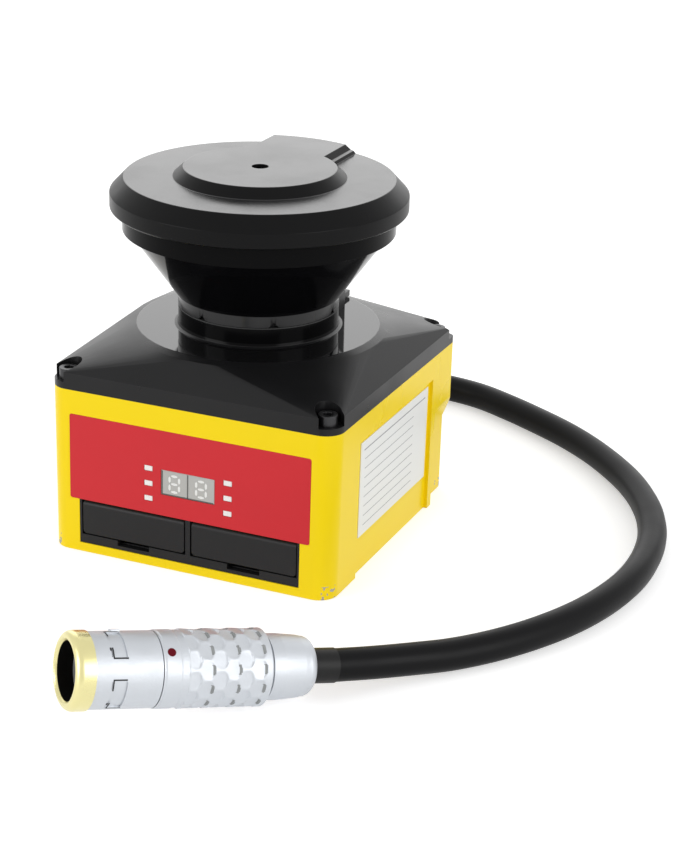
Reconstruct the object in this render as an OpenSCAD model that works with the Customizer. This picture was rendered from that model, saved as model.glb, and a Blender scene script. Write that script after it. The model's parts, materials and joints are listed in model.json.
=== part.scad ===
// Compact safety laser scanner with a captive cable and a push-pull plug.
// Millimetres. +Z is up, the red front panel faces -Y, the cable leaves the rear.
// The origin is the centre of the housing's base.

/* [Housing] */
// Width of the housing at its rim
body_w = 78.6; // [77:0.2:88]
// Depth of the housing at its base
body_d = 80; // [78:1:90]
// Height of the housing up to its joint with the top cover
body_h = 43; // [42:1:54]
// How far each side wall leans in from the rim to the base
side_draft = 0.5; // [0.2:0.1:0.7]
// How far the front and rear walls lean in over the housing's height
end_draft = 0.6; // [0.4:0.1:0.9]
// Radius of the two front corners
front_corner_r = 5; // [4:0.5:7]
// Radius of the two rear corners
rear_corner_r = 2; // [1:0.5:4]
// Thickness of the housing's walls at the rim
wall = 3.4; // [3.2:0.1:3.8]
// Thickness of the housing's floor
floor_t = 3; // [2.6:0.2:4]
// Depth of the shallow panel in each side wall
side_panel_depth = 1; // [0.6:0.1:1.3]
// Depth of the bracket relief at each lower rear corner
relief_depth = 2.6; // [1.6:0.1:2.9]
// Height of the bracket relief below its sloped shoulder
relief_h = 21; // [16:1:23]

/* [Base mounting holes] */
// Distance between the mounting holes across the base
mount_spacing_x = 54; // [50:1:56]
// Distance between the mounting holes along the base
mount_spacing_y = 44; // [40:1:46]
// Radius of the tapped mounting holes
mount_hole_r = 1.65; // [1.25:0.05:2]
// Depth of the mounting holes
mount_hole_depth = 8; // [6:0.5:11]

/* [Top cover] */
// Height of the cover's upright band above the joint
band_h = 4.3; // [3.6:0.1:5.2]
// Height of the flat plateau above the joint
plateau_h = 11.2; // [10.4:0.1:13]
// Radius of the flat plateau
plateau_r = 31; // [29.5:0.5:33]
// Radius of the neck that carries the window
neck_r = 20.45; // [19.85:0.05:20.9]
// Height of the neck above the plateau
neck_h = 4.8; // [4.2:0.1:7]
// Thickness of the cover's skin
cover_t = 2.2; // [1.8:0.1:2.6]
// Distance of each cover screw from the two outer faces
screw_inset = 4; // [3.8:0.1:4.3]
// Radius of the counterbore round each cover screw
screw_pocket_r = 3.3; // [2.9:0.1:3.5]

/* [Window and cap] */
// Height of the window's upright foot
foot_h = 3.1; // [2.4:0.1:4]
// Height of the window's flared cone
cone_h = 16.5; // [15.8:0.1:20]
// Outer radius at the top of the window's cone
cone_r = 32.7; // [32.1:0.1:33.2]
// Thickness of the window's wall, measured level
window_t = 2.2; // [1.8:0.1:2.4]
// Radius of the skirt, set back under the cap's rim
skirt_r = 34.5; // [33.8:0.1:35.4]
// Height of the skirt below the cap's rim
skirt_h = 5.4; // [4.6:0.1:6.2]
// Radius of the cap's rim
cap_r = 37.55; // [36.6:0.05:38.5]
// Height of the cap's rim
rim_h = 4.1; // [3.4:0.1:5.2]
// Height of the sloped shoulder above the rim
shoulder_h = 3.8; // [3.2:0.1:4.6]
// Radius of the cap's flat top
cap_flat_r = 34; // [33.2:0.1:34.8]
// Radius of the raised disc's top face
disc_r = 19.2; // [16:0.1:22]
// Height of the raised disc and of the wedge behind it
disc_h = 2.5; // [1.8:0.1:3.2]
// Half width of the wedge that marks the blind zone
wedge_half_w = 10.2; // [8:0.1:12]
// Thickness of the cap's skin
cap_t = 2.2; // [1.8:0.1:2.6]

/* [Rear column] */
// Half width of the column behind the window
column_half_w = 15; // [14.6:0.1:15.4]
// Distance of the column's rear face from the scan axis
column_back = 21; // [20.7:0.1:22]
// Radius of the wire bundle inside the column
bundle_r = 1.4; // [1:0.1:1.5]

/* [Front panel] */
// Half width of the red front panel
panel_half_w = 33.1; // [31:0.1:33.5]
// Height of the panel's top edge above the base
panel_top = 36.8; // [34:0.1:38.5]
// Thickness of the panel
panel_t = 0.4; // [0.35:0.05:0.6]
// Width of the two-digit display
display_w = 14.8; // [11:0.1:16.5]
// Height of the display
display_h = 6.7; // [5:0.1:7.4]
// Width of each status light
light_w = 2.4; // [1.6:0.1:3]
// Height of each status light
light_h = 1.5; // [1:0.1:2.2]
// Distance from one status light down to the next
light_pitch = 4; // [3:0.1:4.2]
// Distance of each row of lights from the middle
light_x = 10.9; // [10.3:0.1:14]

/* [Service ports] */
// Half width of the port opening
port_half_w = 30.5; // [28:0.1:31]
// Height of the opening's upper edge above the base
port_top = 14.2; // [14:0.1:15]
// Depth of the port frame
port_depth = 10; // [9:0.2:10.6]
// Thickness of each port cover
port_cover_t = 1.4; // [1.2:0.1:1.7]
// Radius of the hinge pin
hinge_r = 0.6; // [0.45:0.05:0.7]
// Running clearance of the covers on the pin
hinge_gap = 0.05; // [0.03:0.01:0.09]
// How far the reset button travels
button_travel = 0.8; // [0.5:0.1:1]

/* [Scan motor] */
// Radius of the motor's flange
motor_r = 14.5; // [14:0.1:14.8]
// Height of the motor's bearing tube above its flange
motor_h = 14; // [12:0.5:15]
// Radius of the spindle
spindle_r = 2; // [1.5:0.1:2.4]
// Running clearance of the spindle in its bearings
spindle_gap = 0.03; // [0.02:0.01:0.08]
// Radius of the encoder disc
encoder_r = 14.4; // [13.6:0.1:14.6]
// Radius of the mirror holder
holder_r = 9; // [7.5:0.1:9.5]

/* [Plug] */
// Length of the plug
plug_len = 57.2; // [55:1:64]
// Radius of the plug's gold front ring
ring_r = 8.7; // [8.5:0.05:8.8]
// Radius of the plug's mouth
mouth_r = 6.5; // [6.3:0.1:6.8]
// Radius of the plug's grip sleeve
grip_r = 8.8; // [8.6:0.05:8.9]
// How far the grip sleeve pulls back
grip_travel = 2; // [1:0.1:2.4]
// Radius of the nut at the plug's rear
nut_r = 7.4; // [7:0.1:7.4]
// Radius of each contact pin
pin_r = 0.6; // [0.4:0.05:0.8]

/* [Cable] */
// Radius of the cable
cable_r = 3.8; // [3:0.1:3.8]
// Length of the tapered boot behind the gland
boot_len = 20; // [20:0.5:21]

/* [Hidden] */
$fn = 96;

// Small lengths that many pieces share.
eps = 0.01;     // thickness of a level's outline inside a hull
cut = 1;        // how far a cut runs past the face it opens
overlap = 0.5;  // how far one form runs into another of the same piece
fit = 0.05;     // clearance of a piece that is fixed in its seat
slide = 0.1;    // clearance of a piece that slides in its guide
free = 0.3;     // gap beside a piece that must not touch
gasket_t = 0.3;

// Levels up the scanner.
z_joint = body_h;
z_plateau = z_joint + plateau_h;
z_neck = z_plateau + neck_h;
z_foot = z_neck + gasket_t;
z_cone = z_foot + foot_h;
z_window = z_cone + cone_h;
z_cap = z_window + gasket_t;
z_rim = z_cap + skirt_h;
z_shoulder = z_rim + rim_h;
z_flat = z_shoulder + shoulder_h;
z_top = z_flat + disc_h;

// Housing.
base_w = body_w - 2 * side_draft;
rim_d = body_d - 2 * end_draft;
cavity_w = body_w - 2 * wall;
cavity_d = rim_d - 2 * wall;
cavity_r = 13;
side_angle = atan(side_draft / body_h);
end_angle = atan(end_draft / body_h);
side_panel_front = -24;
side_panel_rear = 24.5;
side_panel_top = 36.8;
relief_front = 27;
relief_slope = 6.5;
label_front = -21.5;
label_rear = 23;
label_bottom = 9.7;
label_top = 35.2;
label_t = 0.25;

// Gasket between the housing and the cover, in a groove in the rim.
groove_inset = 0.9;
groove_w = 1;
groove_depth = 1.2;

// Corner screws of the cover.
screw_x = body_w / 2 - screw_inset;
screw_y = rim_d / 2 - screw_inset;
screw_r = 1.5;
screw_l = 10;
screw_floor_t = 1.7;
screw_head_r = 2.4;
screw_head_h = 2.7;
socket_key_r = 1.35;
socket_key_depth = 1.5;

// Machine screws: one size for the chassis, the motor and the cap.
bolt_r = 1.25;
bolt_l = 6;
bolt_head_r = 2.1;
bolt_head_h = 1.5;
bolt_key_r = 1.1;
bolt_key_depth = 0.9;

// Small screws of the two boards.
tiny_r = 0.8;
tiny_l = 4.2;
tiny_head_r = 1.5;
tiny_head_h = 0.9;

// Bosses on the floor, and the chassis that stands on them.
boss_r = 4.3;
chassis_z = body_h - 13;
chassis_t = 2;
chassis_w = 64;
chassis_d = 58;
chassis_y = 1;
chassis_r = 10;
chassis_top = chassis_z + chassis_t;

// Front panel, display, lights and the board behind them.
panel_recess = 0.3;
panel_bottom = port_top;
panel_r = 0.6;
light_top = panel_top - 10.6;
light_count = 3;
display_z = light_top - 0.75 * light_pitch;
display_glass_t = 1.2;
board_t = 1.6;
front_board_gap = 1.4;
front_board_y = -cavity_d / 2 + front_board_gap;
front_board_half_w = 25;
front_board_bottom = port_top + 2;
front_board_top = panel_top + 1.6;
front_post_r = 2.2;
front_post_x = 22;
front_post_low = front_board_bottom + 2.4;
front_post_high = front_board_top - 2.4;

// Service ports, in the front wall's lower half.
port_bottom = floor_t - 0.7;
port_wall = 1.2;
port_side_wall = 0.6;
port_front_y = -body_d / 2 + 0.25;
port_back_y = -body_d / 2 + port_depth;
divider_half_w = 0.65;
cover_gap = 0.35;
sill_top = port_bottom + 2.4;
sill_d = 1.5;
notch_w = 8.9;
notch_depth = 1.4;
knuckle_r = 1.2;
hinge_y = port_front_y + knuckle_r;
hinge_z = port_top - cover_gap - knuckle_r;
port_inner_x = port_half_w - fit - port_side_wall;
cover_inner_x = divider_half_w + cover_gap;
cover_outer_x = port_inner_x - cover_gap + 0.1;
cover_mid_x = (cover_inner_x + cover_outer_x) / 2;
cover_bottom = sill_top + free;
cover_r = 1;

// Main board on its posts, with the data socket and the reset switch.
board_post_r = 2.5;
board_post_x = 18;
board_post_front = -16;
board_post_rear = 14;
main_board_z = floor_t + 3;
main_board_top = main_board_z + board_t;
main_board_front = port_back_y + 0.5;
main_board_rear = cavity_d / 2 - 4;
main_board_half_w = 21.5;
socket_w = 8;
socket_h = 3.4;
socket_d = 9;
socket_reach = 0.7;
button_r = 1.8;
button_flange_r = 2.3;
button_flange_t = 1;
button_reach = 2;
button_z = main_board_top + button_flange_r + free;
switch_d = 4;

// Motor, rotor and mirror.
motor_flange_t = 2;
motor_screw_r = 12.2;
motor_tube_z = chassis_top + motor_flange_t;
motor_tube_top = motor_tube_z + motor_h;
bearing_r = 5;
bearing_h = 2.5;
tube_wall = 1.1;
tube_r = bearing_r + tube_wall;
tube_bore_r = bearing_r - 1.2;
stator_r = 9.6;
core_wall = 1.4;
tooth_w = 1.8;
coil_w = 3;
coil_t = 1.2;
coil_gap = 0.4;
stator_z = motor_tube_z + 3;
stator_h = motor_h - 5;
magnet_t = 0.6;
magnet_in_r = stator_r + free;
bell_in_r = magnet_in_r + magnet_t;
bell_r = bell_in_r + 0.9;
bell_bottom = stator_z - 0.5;
bell_plate_z = motor_tube_top + 0.8;
bell_plate_t = 1.2;
hub_r = 4;
hub_h = 2;
encoder_z = bell_plate_z + bell_plate_t + hub_h;
encoder_t = 0.8;
encoder_slots = 24;
holder_z = encoder_z + encoder_t;
holder_foot_r = 6;
holder_foot_h = 4.2;
mirror_t = 1.2;
mirror_z = (z_foot + z_window) / 2 - 0.9;
spindle_bottom = motor_tube_z + 0.4;
spindle_top = holder_z + 7;
sensor_in_r = encoder_r - 1.8;
sensor_out_r = encoder_r + 3;
sensor_post_r = motor_r + 0.5;
sensor_half_w = 3;

// Neck, column and the wires inside them.
neck_t = 2.65;
neck_bore_r = neck_r - neck_t;
neck_fillet = 0.95;
foot_r = neck_r + 0.05;
cone_foot_r = foot_r + 0.3;
column_front = 8;
column_bore_r = 14;
column_screw_x = column_half_w - 2.7;
column_screw_y = column_back - 2.4;
column_tab_half_w = 12.5;
column_tab_back = 30;
column_tab_t = 1.6;
bundle_y = 17.4;
bundle_clear = 0.3;

// Optics under the cap.
carrier_t = 2;
carrier_z = z_cap + 1.2;
carrier_top = carrier_z + carrier_t;
cap_seat_r = cone_r - window_t + 0.1;
carrier_r = cap_seat_r - 0.4;
cap_seat_t = 1.8;
cap_boss_r = 2.8;
cap_boss_at = 25.5;
cap_ceiling = z_flat - cap_t;
cap_hole_r = 2.1;
cap_hole_depth = 1.9;
disc_slope = 1.08;
ledge_h = 1;
wedge_side = [[0, disc_h], [1.05, ledge_h], [1.95, ledge_h - 0.15], [2.25, 0], [2.25, -overlap]];
rim_round = 0.5;
shoulder_run = (cap_r - cap_flat_r) / shoulder_h;
barrel_r = 12.6;
barrel_in_r = 11;
barrel_bottom = z_window - 0.3;
barrel_top = z_shoulder - 2.6;
lens_ledge_t = 1;
lens_ledge_r = 9.8;
lens_edge_t = 1.6;
lens_bulge = 2.2;
emitter_r = 3.4;
receiver_r = barrel_r - 0.1;

// Cable outlet in the rear wall.
outlet_x = -24;
outlet_z = 12;
outlet_face = body_d / 2 - 0.4;
gland_r = 7;
gland_tube_r = 5.2;
gland_flange_t = 2.2;
gland_nut_r = 7;
gland_nut_t = 3;
boot_r = 5.8;
boot_tip_r = cable_r + 0.6;
boot_start = outlet_face + gland_flange_t;
boot_end = boot_start + boot_len;
gland_past = 0.5;
tail_start = cavity_d / 2 - gland_nut_t - gland_past;
lead_bend_r = 3;
lead_r = 1.6;

// Centre line of the cable, from the boot's tip to the collar behind the plug.
cable_route = [
    [-24, 61.8, 12], [-22.6, 75.4, 10.8], [-17.2, 87, 8.6], [-8.8, 95.4, 6.2], [1.6, 100.8, 4.6],
    [13.4, 102.8, 3.9], [25.2, 100.8, 3.8], [36.6, 95.6, 3.8], [47.4, 89.6, 3.8], [58, 83, 3.8],
    [67.8, 75.4, 3.8], [76.6, 67, 3.8], [84.8, 57.6, 3.8], [91.6, 47.4, 3.8], [96.8, 37, 3.8],
    [100.8, 25, 3.8], [102.9, 12.6, 3.8], [103.3, -0.4, 3.8], [101.6, -13.4, 3.8], [98, -26.2, 3.8],
    [92.6, -38.2, 3.8], [85.8, -49.2, 3.8], [78, -59, 4], [70.4, -67, 4.7], [63.6, -74, 5.5],
    [57.3, -80.2, 6.35]
];
cable_sides = 10;

// Plug: its rear end, its heading and how far its mouth is raised.
plug_end = [53.1, -84.8, 7.4];
plug_heading = 47.5;
plug_pitch = 9.6;
plug_dir = -[cos(plug_pitch) * cos(plug_heading), cos(plug_pitch) * sin(plug_heading),
             -sin(plug_pitch)];
ring_len = 4.3;
ring_round = 1.6;
shell_r = ring_r - 0.3;
shell_end = 19.4;
core_r = 7;
core_bore_r = 6;
core_end = 45.9;
grip_start = shell_end + 0.2;
grip_collar = 4.3;
grip_end = 45;
knurl_rows = 6;
knurl_count = 12;
knurl_depth = 0.55;
nut_spigot = 4;
nut_end_r = 6.5;
collar_len = 6.3;
collar_r = cable_r + 0.2;
insert_face = 9;
insert_len = 26;
pin_len = 12;
pin_circle_r = 3.7;
pin_count = 8;
latch_len = 3.5;
latch_angle = 54;
latch_depth = 0.35;
latch_start = 7.9;
latch_turn = 18.4;
key_at = 11;
key_size = [0.7, 1.4, 2.2];
key_turn = 160;
dot_at = 21.5;
dot_r = 0.95;
dot_turn = 220;

// ---- Shared outlines and frames ----

module rounded_rect(w, d, r) {
    translate([-w / 2 + r, -d / 2]) square([w - 2 * r, d]);
    translate([-w / 2, -d / 2 + r]) square([w, d - 2 * r]);
    for (sx = [-1, 1], sy = [-1, 1])
        translate([sx * (w / 2 - r), sy * (d / 2 - r)]) circle(r);
}

// The scanner's plan: wide round corners in front, tight ones behind.
module body_outline(w, d) {
    translate([-w / 2 + front_corner_r, -d / 2]) square([w - 2 * front_corner_r, d / 2]);
    translate([-w / 2 + rear_corner_r, 0]) square([w - 2 * rear_corner_r, d / 2]);
    translate([-w / 2, -d / 2 + front_corner_r])
        square([w, d - front_corner_r - rear_corner_r]);
    for (s = [-1, 1]) {
        translate([s * (w / 2 - front_corner_r), -d / 2 + front_corner_r]) circle(front_corner_r);
        translate([s * (w / 2 - rear_corner_r), d / 2 - rear_corner_r]) circle(rear_corner_r);
    }
}

module tube(outer_r, inner_r, h) {
    difference() {
        cylinder(r = outer_r, h = h);
        translate([0, 0, -cut]) cylinder(r = inner_r, h = h + 2 * cut);
    }
}

module at_four(x, y) {
    for (sx = [-1, 1], sy = [-1, 1])
        translate([sx * x, sy * y, 0]) children();
}

module at_ring(count, radius, turn = 0) {
    for (i = [0 : count - 1])
        rotate(turn + i * 360 / count) translate([radius, 0, 0]) children();
}

// Turns a form that stands along +Z so that it runs along +Y.
module along_y() {
    rotate([-90, 0, 0]) children();
}

// Extrudes an outline drawn in X and Z by t towards +Y.
module upright(t) {
    translate([0, t, 0]) rotate([90, 0, 0]) linear_extrude(t) children();
}

// Frame of the drafted front wall: x along the wall, y into it, z up it.
module on_front() {
    translate([0, -body_d / 2, 0]) rotate([-end_angle, 0, 0]) children();
}

// Frame of the drafted +X wall: x out of it, y along it, z up it.
module on_right() {
    translate([base_w / 2, 0, 0]) rotate([0, side_angle, 0]) children();
}

module on_both_sides() {
    on_right() children();
    mirror([1, 0, 0]) on_right() children();
}

// Frame of the plug: z runs from its mouth to its rear end.
module on_plug() {
    translate(plug_end) rotate([0, plug_pitch, plug_heading])
        translate([-plug_len, 0, 0]) rotate([0, 90, 0]) children();
}

module screw(shank_r, shank_l, head_r, head_h, key_r, key_depth) {
    difference() {
        union() {
            translate([0, 0, -shank_l]) cylinder(r = shank_r, h = shank_l + fit);
            cylinder(r = head_r, h = head_h);
        }
        translate([0, 0, head_h - key_depth]) cylinder(r = key_r, h = key_depth + cut, $fn = 6);
    }
}

module machine_screw() {
    screw(bolt_r, bolt_l, bolt_head_r, bolt_head_h, bolt_key_r, bolt_key_depth);
}

module tiny_screw() {
    screw(tiny_r, tiny_l, tiny_head_r, tiny_head_h, tiny_r, tiny_head_h / 2);
}

// ---- Housing ----

module housing_outside() {
    hull($fn = 32) {
        linear_extrude(eps) body_outline(base_w, body_d);
        translate([0, 0, body_h - eps]) linear_extrude(eps) body_outline(body_w, rim_d);
    }
}

module gasket_outline(inset) {
    rounded_rect(cavity_w + 2 * inset, cavity_d + 2 * inset, cavity_r + inset);
}

module gasket_ring(h) {
    linear_extrude(h) difference() {
        gasket_outline(groove_inset + groove_w);
        gasket_outline(groove_inset);
    }
}

module relief_outline() {
    polygon([
        [cut, -cut], [-relief_depth, -cut], [-relief_depth, relief_h],
        [0, relief_h + relief_slope], [cut, relief_h + relief_slope + cut]
    ]);
}

module side_cuts() {
    on_both_sides() {
        translate([-side_panel_depth, side_panel_front, -cut])
            cube([side_panel_depth + cut, side_panel_rear - side_panel_front, side_panel_top + cut]);
        translate([0, relief_front, 0]) upright(body_d) relief_outline();
    }
}

module display_outline(gap = 0) {
    translate([-display_w / 2 + gap, display_z - display_h / 2 + gap])
        square([display_w - 2 * gap, display_h - 2 * gap]);
}

module light_outlines(gap = 0) {
    for (s = [-1, 1], i = [0 : light_count - 1])
        translate([s * light_x - light_w / 2 + gap, light_top - i * light_pitch - light_h / 2 + gap])
            square([light_w - 2 * gap, light_h - 2 * gap]);
}

module panel_outline(gap = 0) {
    translate([0, (panel_bottom + panel_top) / 2])
        rounded_rect(2 * panel_half_w - 2 * gap, panel_top - panel_bottom - 2 * gap, panel_r);
}

module front_cuts() {
    on_front() {
        translate([0, -cut, 0]) upright(cut + panel_recess) panel_outline();
        translate([0, -cut, 0]) upright(wall + end_draft + 2 * cut) {
            display_outline();
            light_outlines();
        }
    }
    translate([-port_half_w, -body_d / 2 - cut, port_bottom])
        cube([2 * port_half_w, port_depth + cut, port_top - port_bottom]);
}

module outlet_cuts() {
    translate([outlet_x, 0, outlet_z]) along_y() {
        translate([0, 0, cavity_d / 2 - cut]) cylinder(r = gland_tube_r + fit, h = wall + 3 * cut);
        translate([0, 0, outlet_face]) cylinder(r = gland_r + fit, h = 2 * cut);
        translate([0, 0, cavity_d / 2 - 2 * gland_nut_t])
            cylinder(r = gland_nut_r + free, h = 2 * gland_nut_t);
    }
}

module front_posts() {
    for (s = [-1, 1], z = [front_post_low, front_post_high])
        translate([s * front_post_x, 0, z]) children();
}

module board_posts() {
    for (s = [-1, 1], y = [board_post_front, board_post_rear])
        translate([s * board_post_x, y, 0]) children();
}

module housing_bosses() {
    translate([0, 0, floor_t - overlap]) {
        at_four(mount_spacing_x / 2, mount_spacing_y / 2)
            cylinder(r = boss_r, h = chassis_z - floor_t + overlap);
        board_posts() cylinder(r = board_post_r, h = main_board_z - floor_t + overlap);
    }
    front_posts() translate([0, -cavity_d / 2 - overlap, 0])
        along_y() cylinder(r = front_post_r, h = front_board_gap + overlap);
}

module housing_holes() {
    at_four(mount_spacing_x / 2, mount_spacing_y / 2) {
        translate([0, 0, -cut]) cylinder(r = mount_hole_r, h = mount_hole_depth + cut);
        translate([0, 0, chassis_z - bolt_l]) cylinder(r = bolt_r + fit, h = bolt_l + cut);
    }
    at_four(screw_x, screw_y)
        translate([0, 0, z_joint + screw_floor_t - screw_l - cut])
            cylinder(r = screw_r + fit, h = screw_l + 2 * cut);
    board_posts() translate([0, 0, main_board_top - tiny_l - 0.2])
        cylinder(r = tiny_r + fit, h = tiny_l + cut);
    front_posts() translate([0, front_board_y + board_t - tiny_l - 0.2, 0])
        along_y() cylinder(r = tiny_r + fit, h = tiny_l + cut);
}

module housing() {
    color("gold") difference() {
        union() {
            difference() {
                housing_outside();
                translate([0, 0, floor_t]) linear_extrude(body_h)
                    rounded_rect(cavity_w, cavity_d, cavity_r);
                translate([0, 0, z_joint - groove_depth]) gasket_ring(groove_depth + cut);
                side_cuts();
            }
            housing_bosses();
        }
        front_cuts();
        outlet_cuts();
        housing_holes();
    }
}

module side_label() {
    color("white") on_right()
        translate([-side_panel_depth, label_front, label_bottom])
            cube([label_t, label_rear - label_front, label_top - label_bottom]);
}

// ---- Top cover ----

module cover_outside() {
    hull($fn = 48) {
        translate([0, 0, z_joint]) linear_extrude(band_h) body_outline(body_w, rim_d);
        translate([0, 0, z_plateau - 0.6]) cylinder(r = plateau_r + 2.2, h = eps);
        translate([0, 0, z_plateau - eps]) cylinder(r = plateau_r, h = eps);
    }
}

module cover_inside() {
    hull($fn = 48) {
        translate([0, 0, z_joint - cut]) linear_extrude(band_h - 1 + cut)
            rounded_rect(cavity_w, cavity_d, cavity_r);
        translate([0, 0, z_plateau - cover_t - eps]) cylinder(r = plateau_r - cover_t, h = eps);
    }
}

module screw_pocket() {
    cylinder(r = screw_pocket_r, h = plateau_h);
    translate([0, -screw_pocket_r, 0]) cube([2 * screw_inset + 4, 2 * screw_pocket_r, plateau_h]);
}

module at_cover_screws() {
    for (sx = [-1, 1], sy = [-1, 1])
        translate([sx * screw_x, sy * screw_y, z_joint]) rotate(atan2(sy, sx)) children();
}

module column_screw_axes() {
    for (s = [-1, 1]) translate([s * column_screw_x, column_screw_y, 0]) children();
}

module neck() {
    rotate_extrude() polygon([
        [neck_bore_r, z_plateau - cover_t], [neck_r, z_plateau - cover_t],
        [neck_r + neck_fillet, z_plateau - eps], [neck_r + neck_fillet, z_plateau],
        [neck_r + neck_fillet / 3, z_plateau + neck_fillet / 3],
        [neck_r, z_plateau + neck_fillet], [neck_r, z_neck], [neck_bore_r, z_neck]
    ]);
}

module top_cover() {
    color([0.1, 0.1, 0.11]) difference() {
        union() {
            difference() {
                cover_outside();
                cover_inside();
            }
            neck();
        }
        translate([0, 0, z_joint]) cylinder(r = neck_bore_r, h = z_top);
        translate([0, bundle_y, z_joint]) cylinder(r = bundle_r + bundle_clear, h = z_top);
        column_seat_cut();
        at_cover_screws() {
            translate([0, 0, screw_floor_t]) screw_pocket();
            translate([0, 0, -cut]) cylinder(r = screw_r + fit, h = 2 * screw_floor_t + cut);
        }
        column_screw_axes() translate([0, 0, z_joint])
            cylinder(r = bolt_r + fit, h = z_top);
    }
}

// The fillet round the neck's root stops where the column's foot stands.
module column_seat_cut() {
    translate([-column_half_w - fit, column_front - fit, z_plateau]) difference() {
        cube([2 * column_half_w + 2 * fit, column_back + 2, neck_fillet + cut]);
        translate([column_half_w + fit, -column_front + fit, -cut])
            cylinder(r = neck_r, h = neck_fillet + 3 * cut);
    }
}

module cover_gasket() {
    color("dimgray") translate([0, 0, z_joint - groove_depth]) gasket_ring(groove_depth);
}

module cover_screws() {
    color([0.2, 0.2, 0.21]) at_cover_screws() translate([0, 0, screw_floor_t])
        screw(screw_r, screw_l, screw_head_r, screw_head_h, socket_key_r, socket_key_depth);
}

// ---- Front panel ----

module front_panel() {
    color([0.75, 0.08, 0.12]) on_front() translate([0, panel_recess - panel_t, 0])
        upright(panel_t) difference() {
            panel_outline(fit);
            display_outline();
            light_outlines();
        }
}

module display_window() {
    color([0.55, 0.56, 0.55]) on_front() upright(display_glass_t) display_outline(fit);
}

module display_module() {
    depth = front_board_y + body_d / 2 - display_glass_t - free - end_draft;
    color([0.85, 0.86, 0.83]) translate([0, front_board_y - depth, 0])
        upright(depth) display_outline(free);
}

module status_lights() {
    length = front_board_y + body_d / 2 - end_draft - free;
    color("white") on_front() upright(length) light_outlines(fit);
}

module front_board() {
    color("darkgreen") difference() {
        translate([-front_board_half_w, front_board_y, front_board_bottom])
            cube([2 * front_board_half_w, board_t, front_board_top - front_board_bottom]);
        front_posts() translate([0, front_board_y - cut, 0])
            along_y() cylinder(r = tiny_r + fit, h = board_t + 2 * cut);
    }
}

module board_screws() {
    color("silver") {
        board_posts() translate([0, 0, main_board_top]) tiny_screw();
        front_posts() translate([0, front_board_y + board_t, 0]) along_y() tiny_screw();
    }
}

// ---- Service ports ----

module port_pockets() {
    for (s = [-1, 1]) {
        x = s < 0 ? -port_inner_x : divider_half_w;
        translate([x, port_front_y - cut, sill_top])
            cube([port_inner_x - divider_half_w, cut + sill_d, port_top]);
        translate([x, port_front_y + sill_d, port_bottom + port_wall])
            cube([port_inner_x - divider_half_w, hinge_y + knuckle_r + free - port_front_y - sill_d,
                  port_top]);
        translate([x, port_front_y + sill_d, port_bottom + port_wall])
            cube([port_inner_x - divider_half_w, port_back_y - port_wall - port_front_y - sill_d,
                  port_top - port_bottom - 2 * port_wall]);
        translate([s * cover_mid_x - notch_w / 2, port_front_y - cut, sill_top - notch_depth])
            cube([notch_w, cut + sill_d + overlap, notch_depth + cut]);
    }
}

module hinge_axis(gap) {
    translate([-port_half_w, hinge_y, hinge_z]) rotate([0, 90, 0])
        cylinder(r = hinge_r + gap, h = 2 * port_half_w);
}

module port_frame() {
    color([0.13, 0.13, 0.14]) difference() {
        translate([-port_half_w + fit, port_front_y, port_bottom + fit])
            cube([2 * (port_half_w - fit), port_back_y - fit - port_front_y,
                  port_top - port_bottom - 2 * fit]);
        port_pockets();
        hinge_axis(eps);
        translate([-cover_mid_x - socket_w / 2 - slide, port_back_y - 2 * port_wall,
                   main_board_top - slide])
            cube([socket_w + 2 * slide, 3 * port_wall, socket_h + 2 * slide]);
        translate([cover_mid_x, port_back_y - 2 * port_wall, button_z])
            along_y() cylinder(r = button_r + slide, h = 3 * port_wall);
    }
}

module port_cover() {
    width = cover_outer_x - cover_inner_x;
    color([0.12, 0.12, 0.13]) difference() {
        union() {
            translate([-width / 2, port_front_y, cover_bottom]) upright(port_cover_t) union() {
                translate([cover_r, 0]) square([width - 2 * cover_r, cover_r + eps]);
                translate([0, cover_r]) square([width, hinge_z - cover_bottom - cover_r]);
                for (x = [cover_r, width - cover_r]) translate([x, cover_r]) circle(cover_r);
            }
            translate([-width / 2, hinge_y, hinge_z]) rotate([0, 90, 0])
                cylinder(r = knuckle_r, h = width);
        }
        hinge_axis(hinge_gap);
    }
}

module port_cover_left() {
    translate([-cover_mid_x, 0, 0]) port_cover();
}

module port_cover_right() {
    translate([cover_mid_x, 0, 0]) port_cover();
}

module hinge_pin() {
    color("silver") intersection() {
        hinge_axis(0);
        cube([2 * (port_half_w - 2 * fit), body_d, body_h], center = true);
    }
}

module data_socket() {
    front = port_back_y - port_wall - socket_reach;
    color("silver") difference() {
        translate([-cover_mid_x - socket_w / 2, front, main_board_top])
            cube([socket_w, socket_d, socket_h]);
        translate([-cover_mid_x - socket_w / 2 + 0.5, front - cut, main_board_top + 0.5])
            cube([socket_w - 1, socket_d - 1, socket_h - 1]);
    }
}

module reset_button() {
    flange_y = port_back_y + slide;
    reach = port_wall + button_reach;
    color("crimson") translate([cover_mid_x, flange_y, button_z]) along_y() {
        translate([0, 0, -reach - slide]) cylinder(r = button_r, h = reach + slide + overlap);
        cylinder(r = button_flange_r, h = button_flange_t);
    }
}

// ---- Inside the housing ----

module main_board() {
    switch_y = port_back_y + slide + button_flange_t + button_travel + free;
    color("darkgreen") difference() {
        union() {
            translate([-main_board_half_w, main_board_front, main_board_z])
                cube([2 * main_board_half_w, main_board_rear - main_board_front, board_t]);
            translate([cover_mid_x - switch_d, switch_y, main_board_top - eps])
                cube([2 * switch_d, switch_d, button_z + button_flange_r - main_board_top]);
            header_block();
            for (x = [-12, 0, 10]) translate([x, -6, main_board_top - eps]) cube([7, 7, 1.4]);
        }
        board_posts() translate([0, 0, main_board_z - cut])
            cylinder(r = tiny_r + fit, h = board_t + 2 * cut);
        bundle_hole();
    }
}

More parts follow.
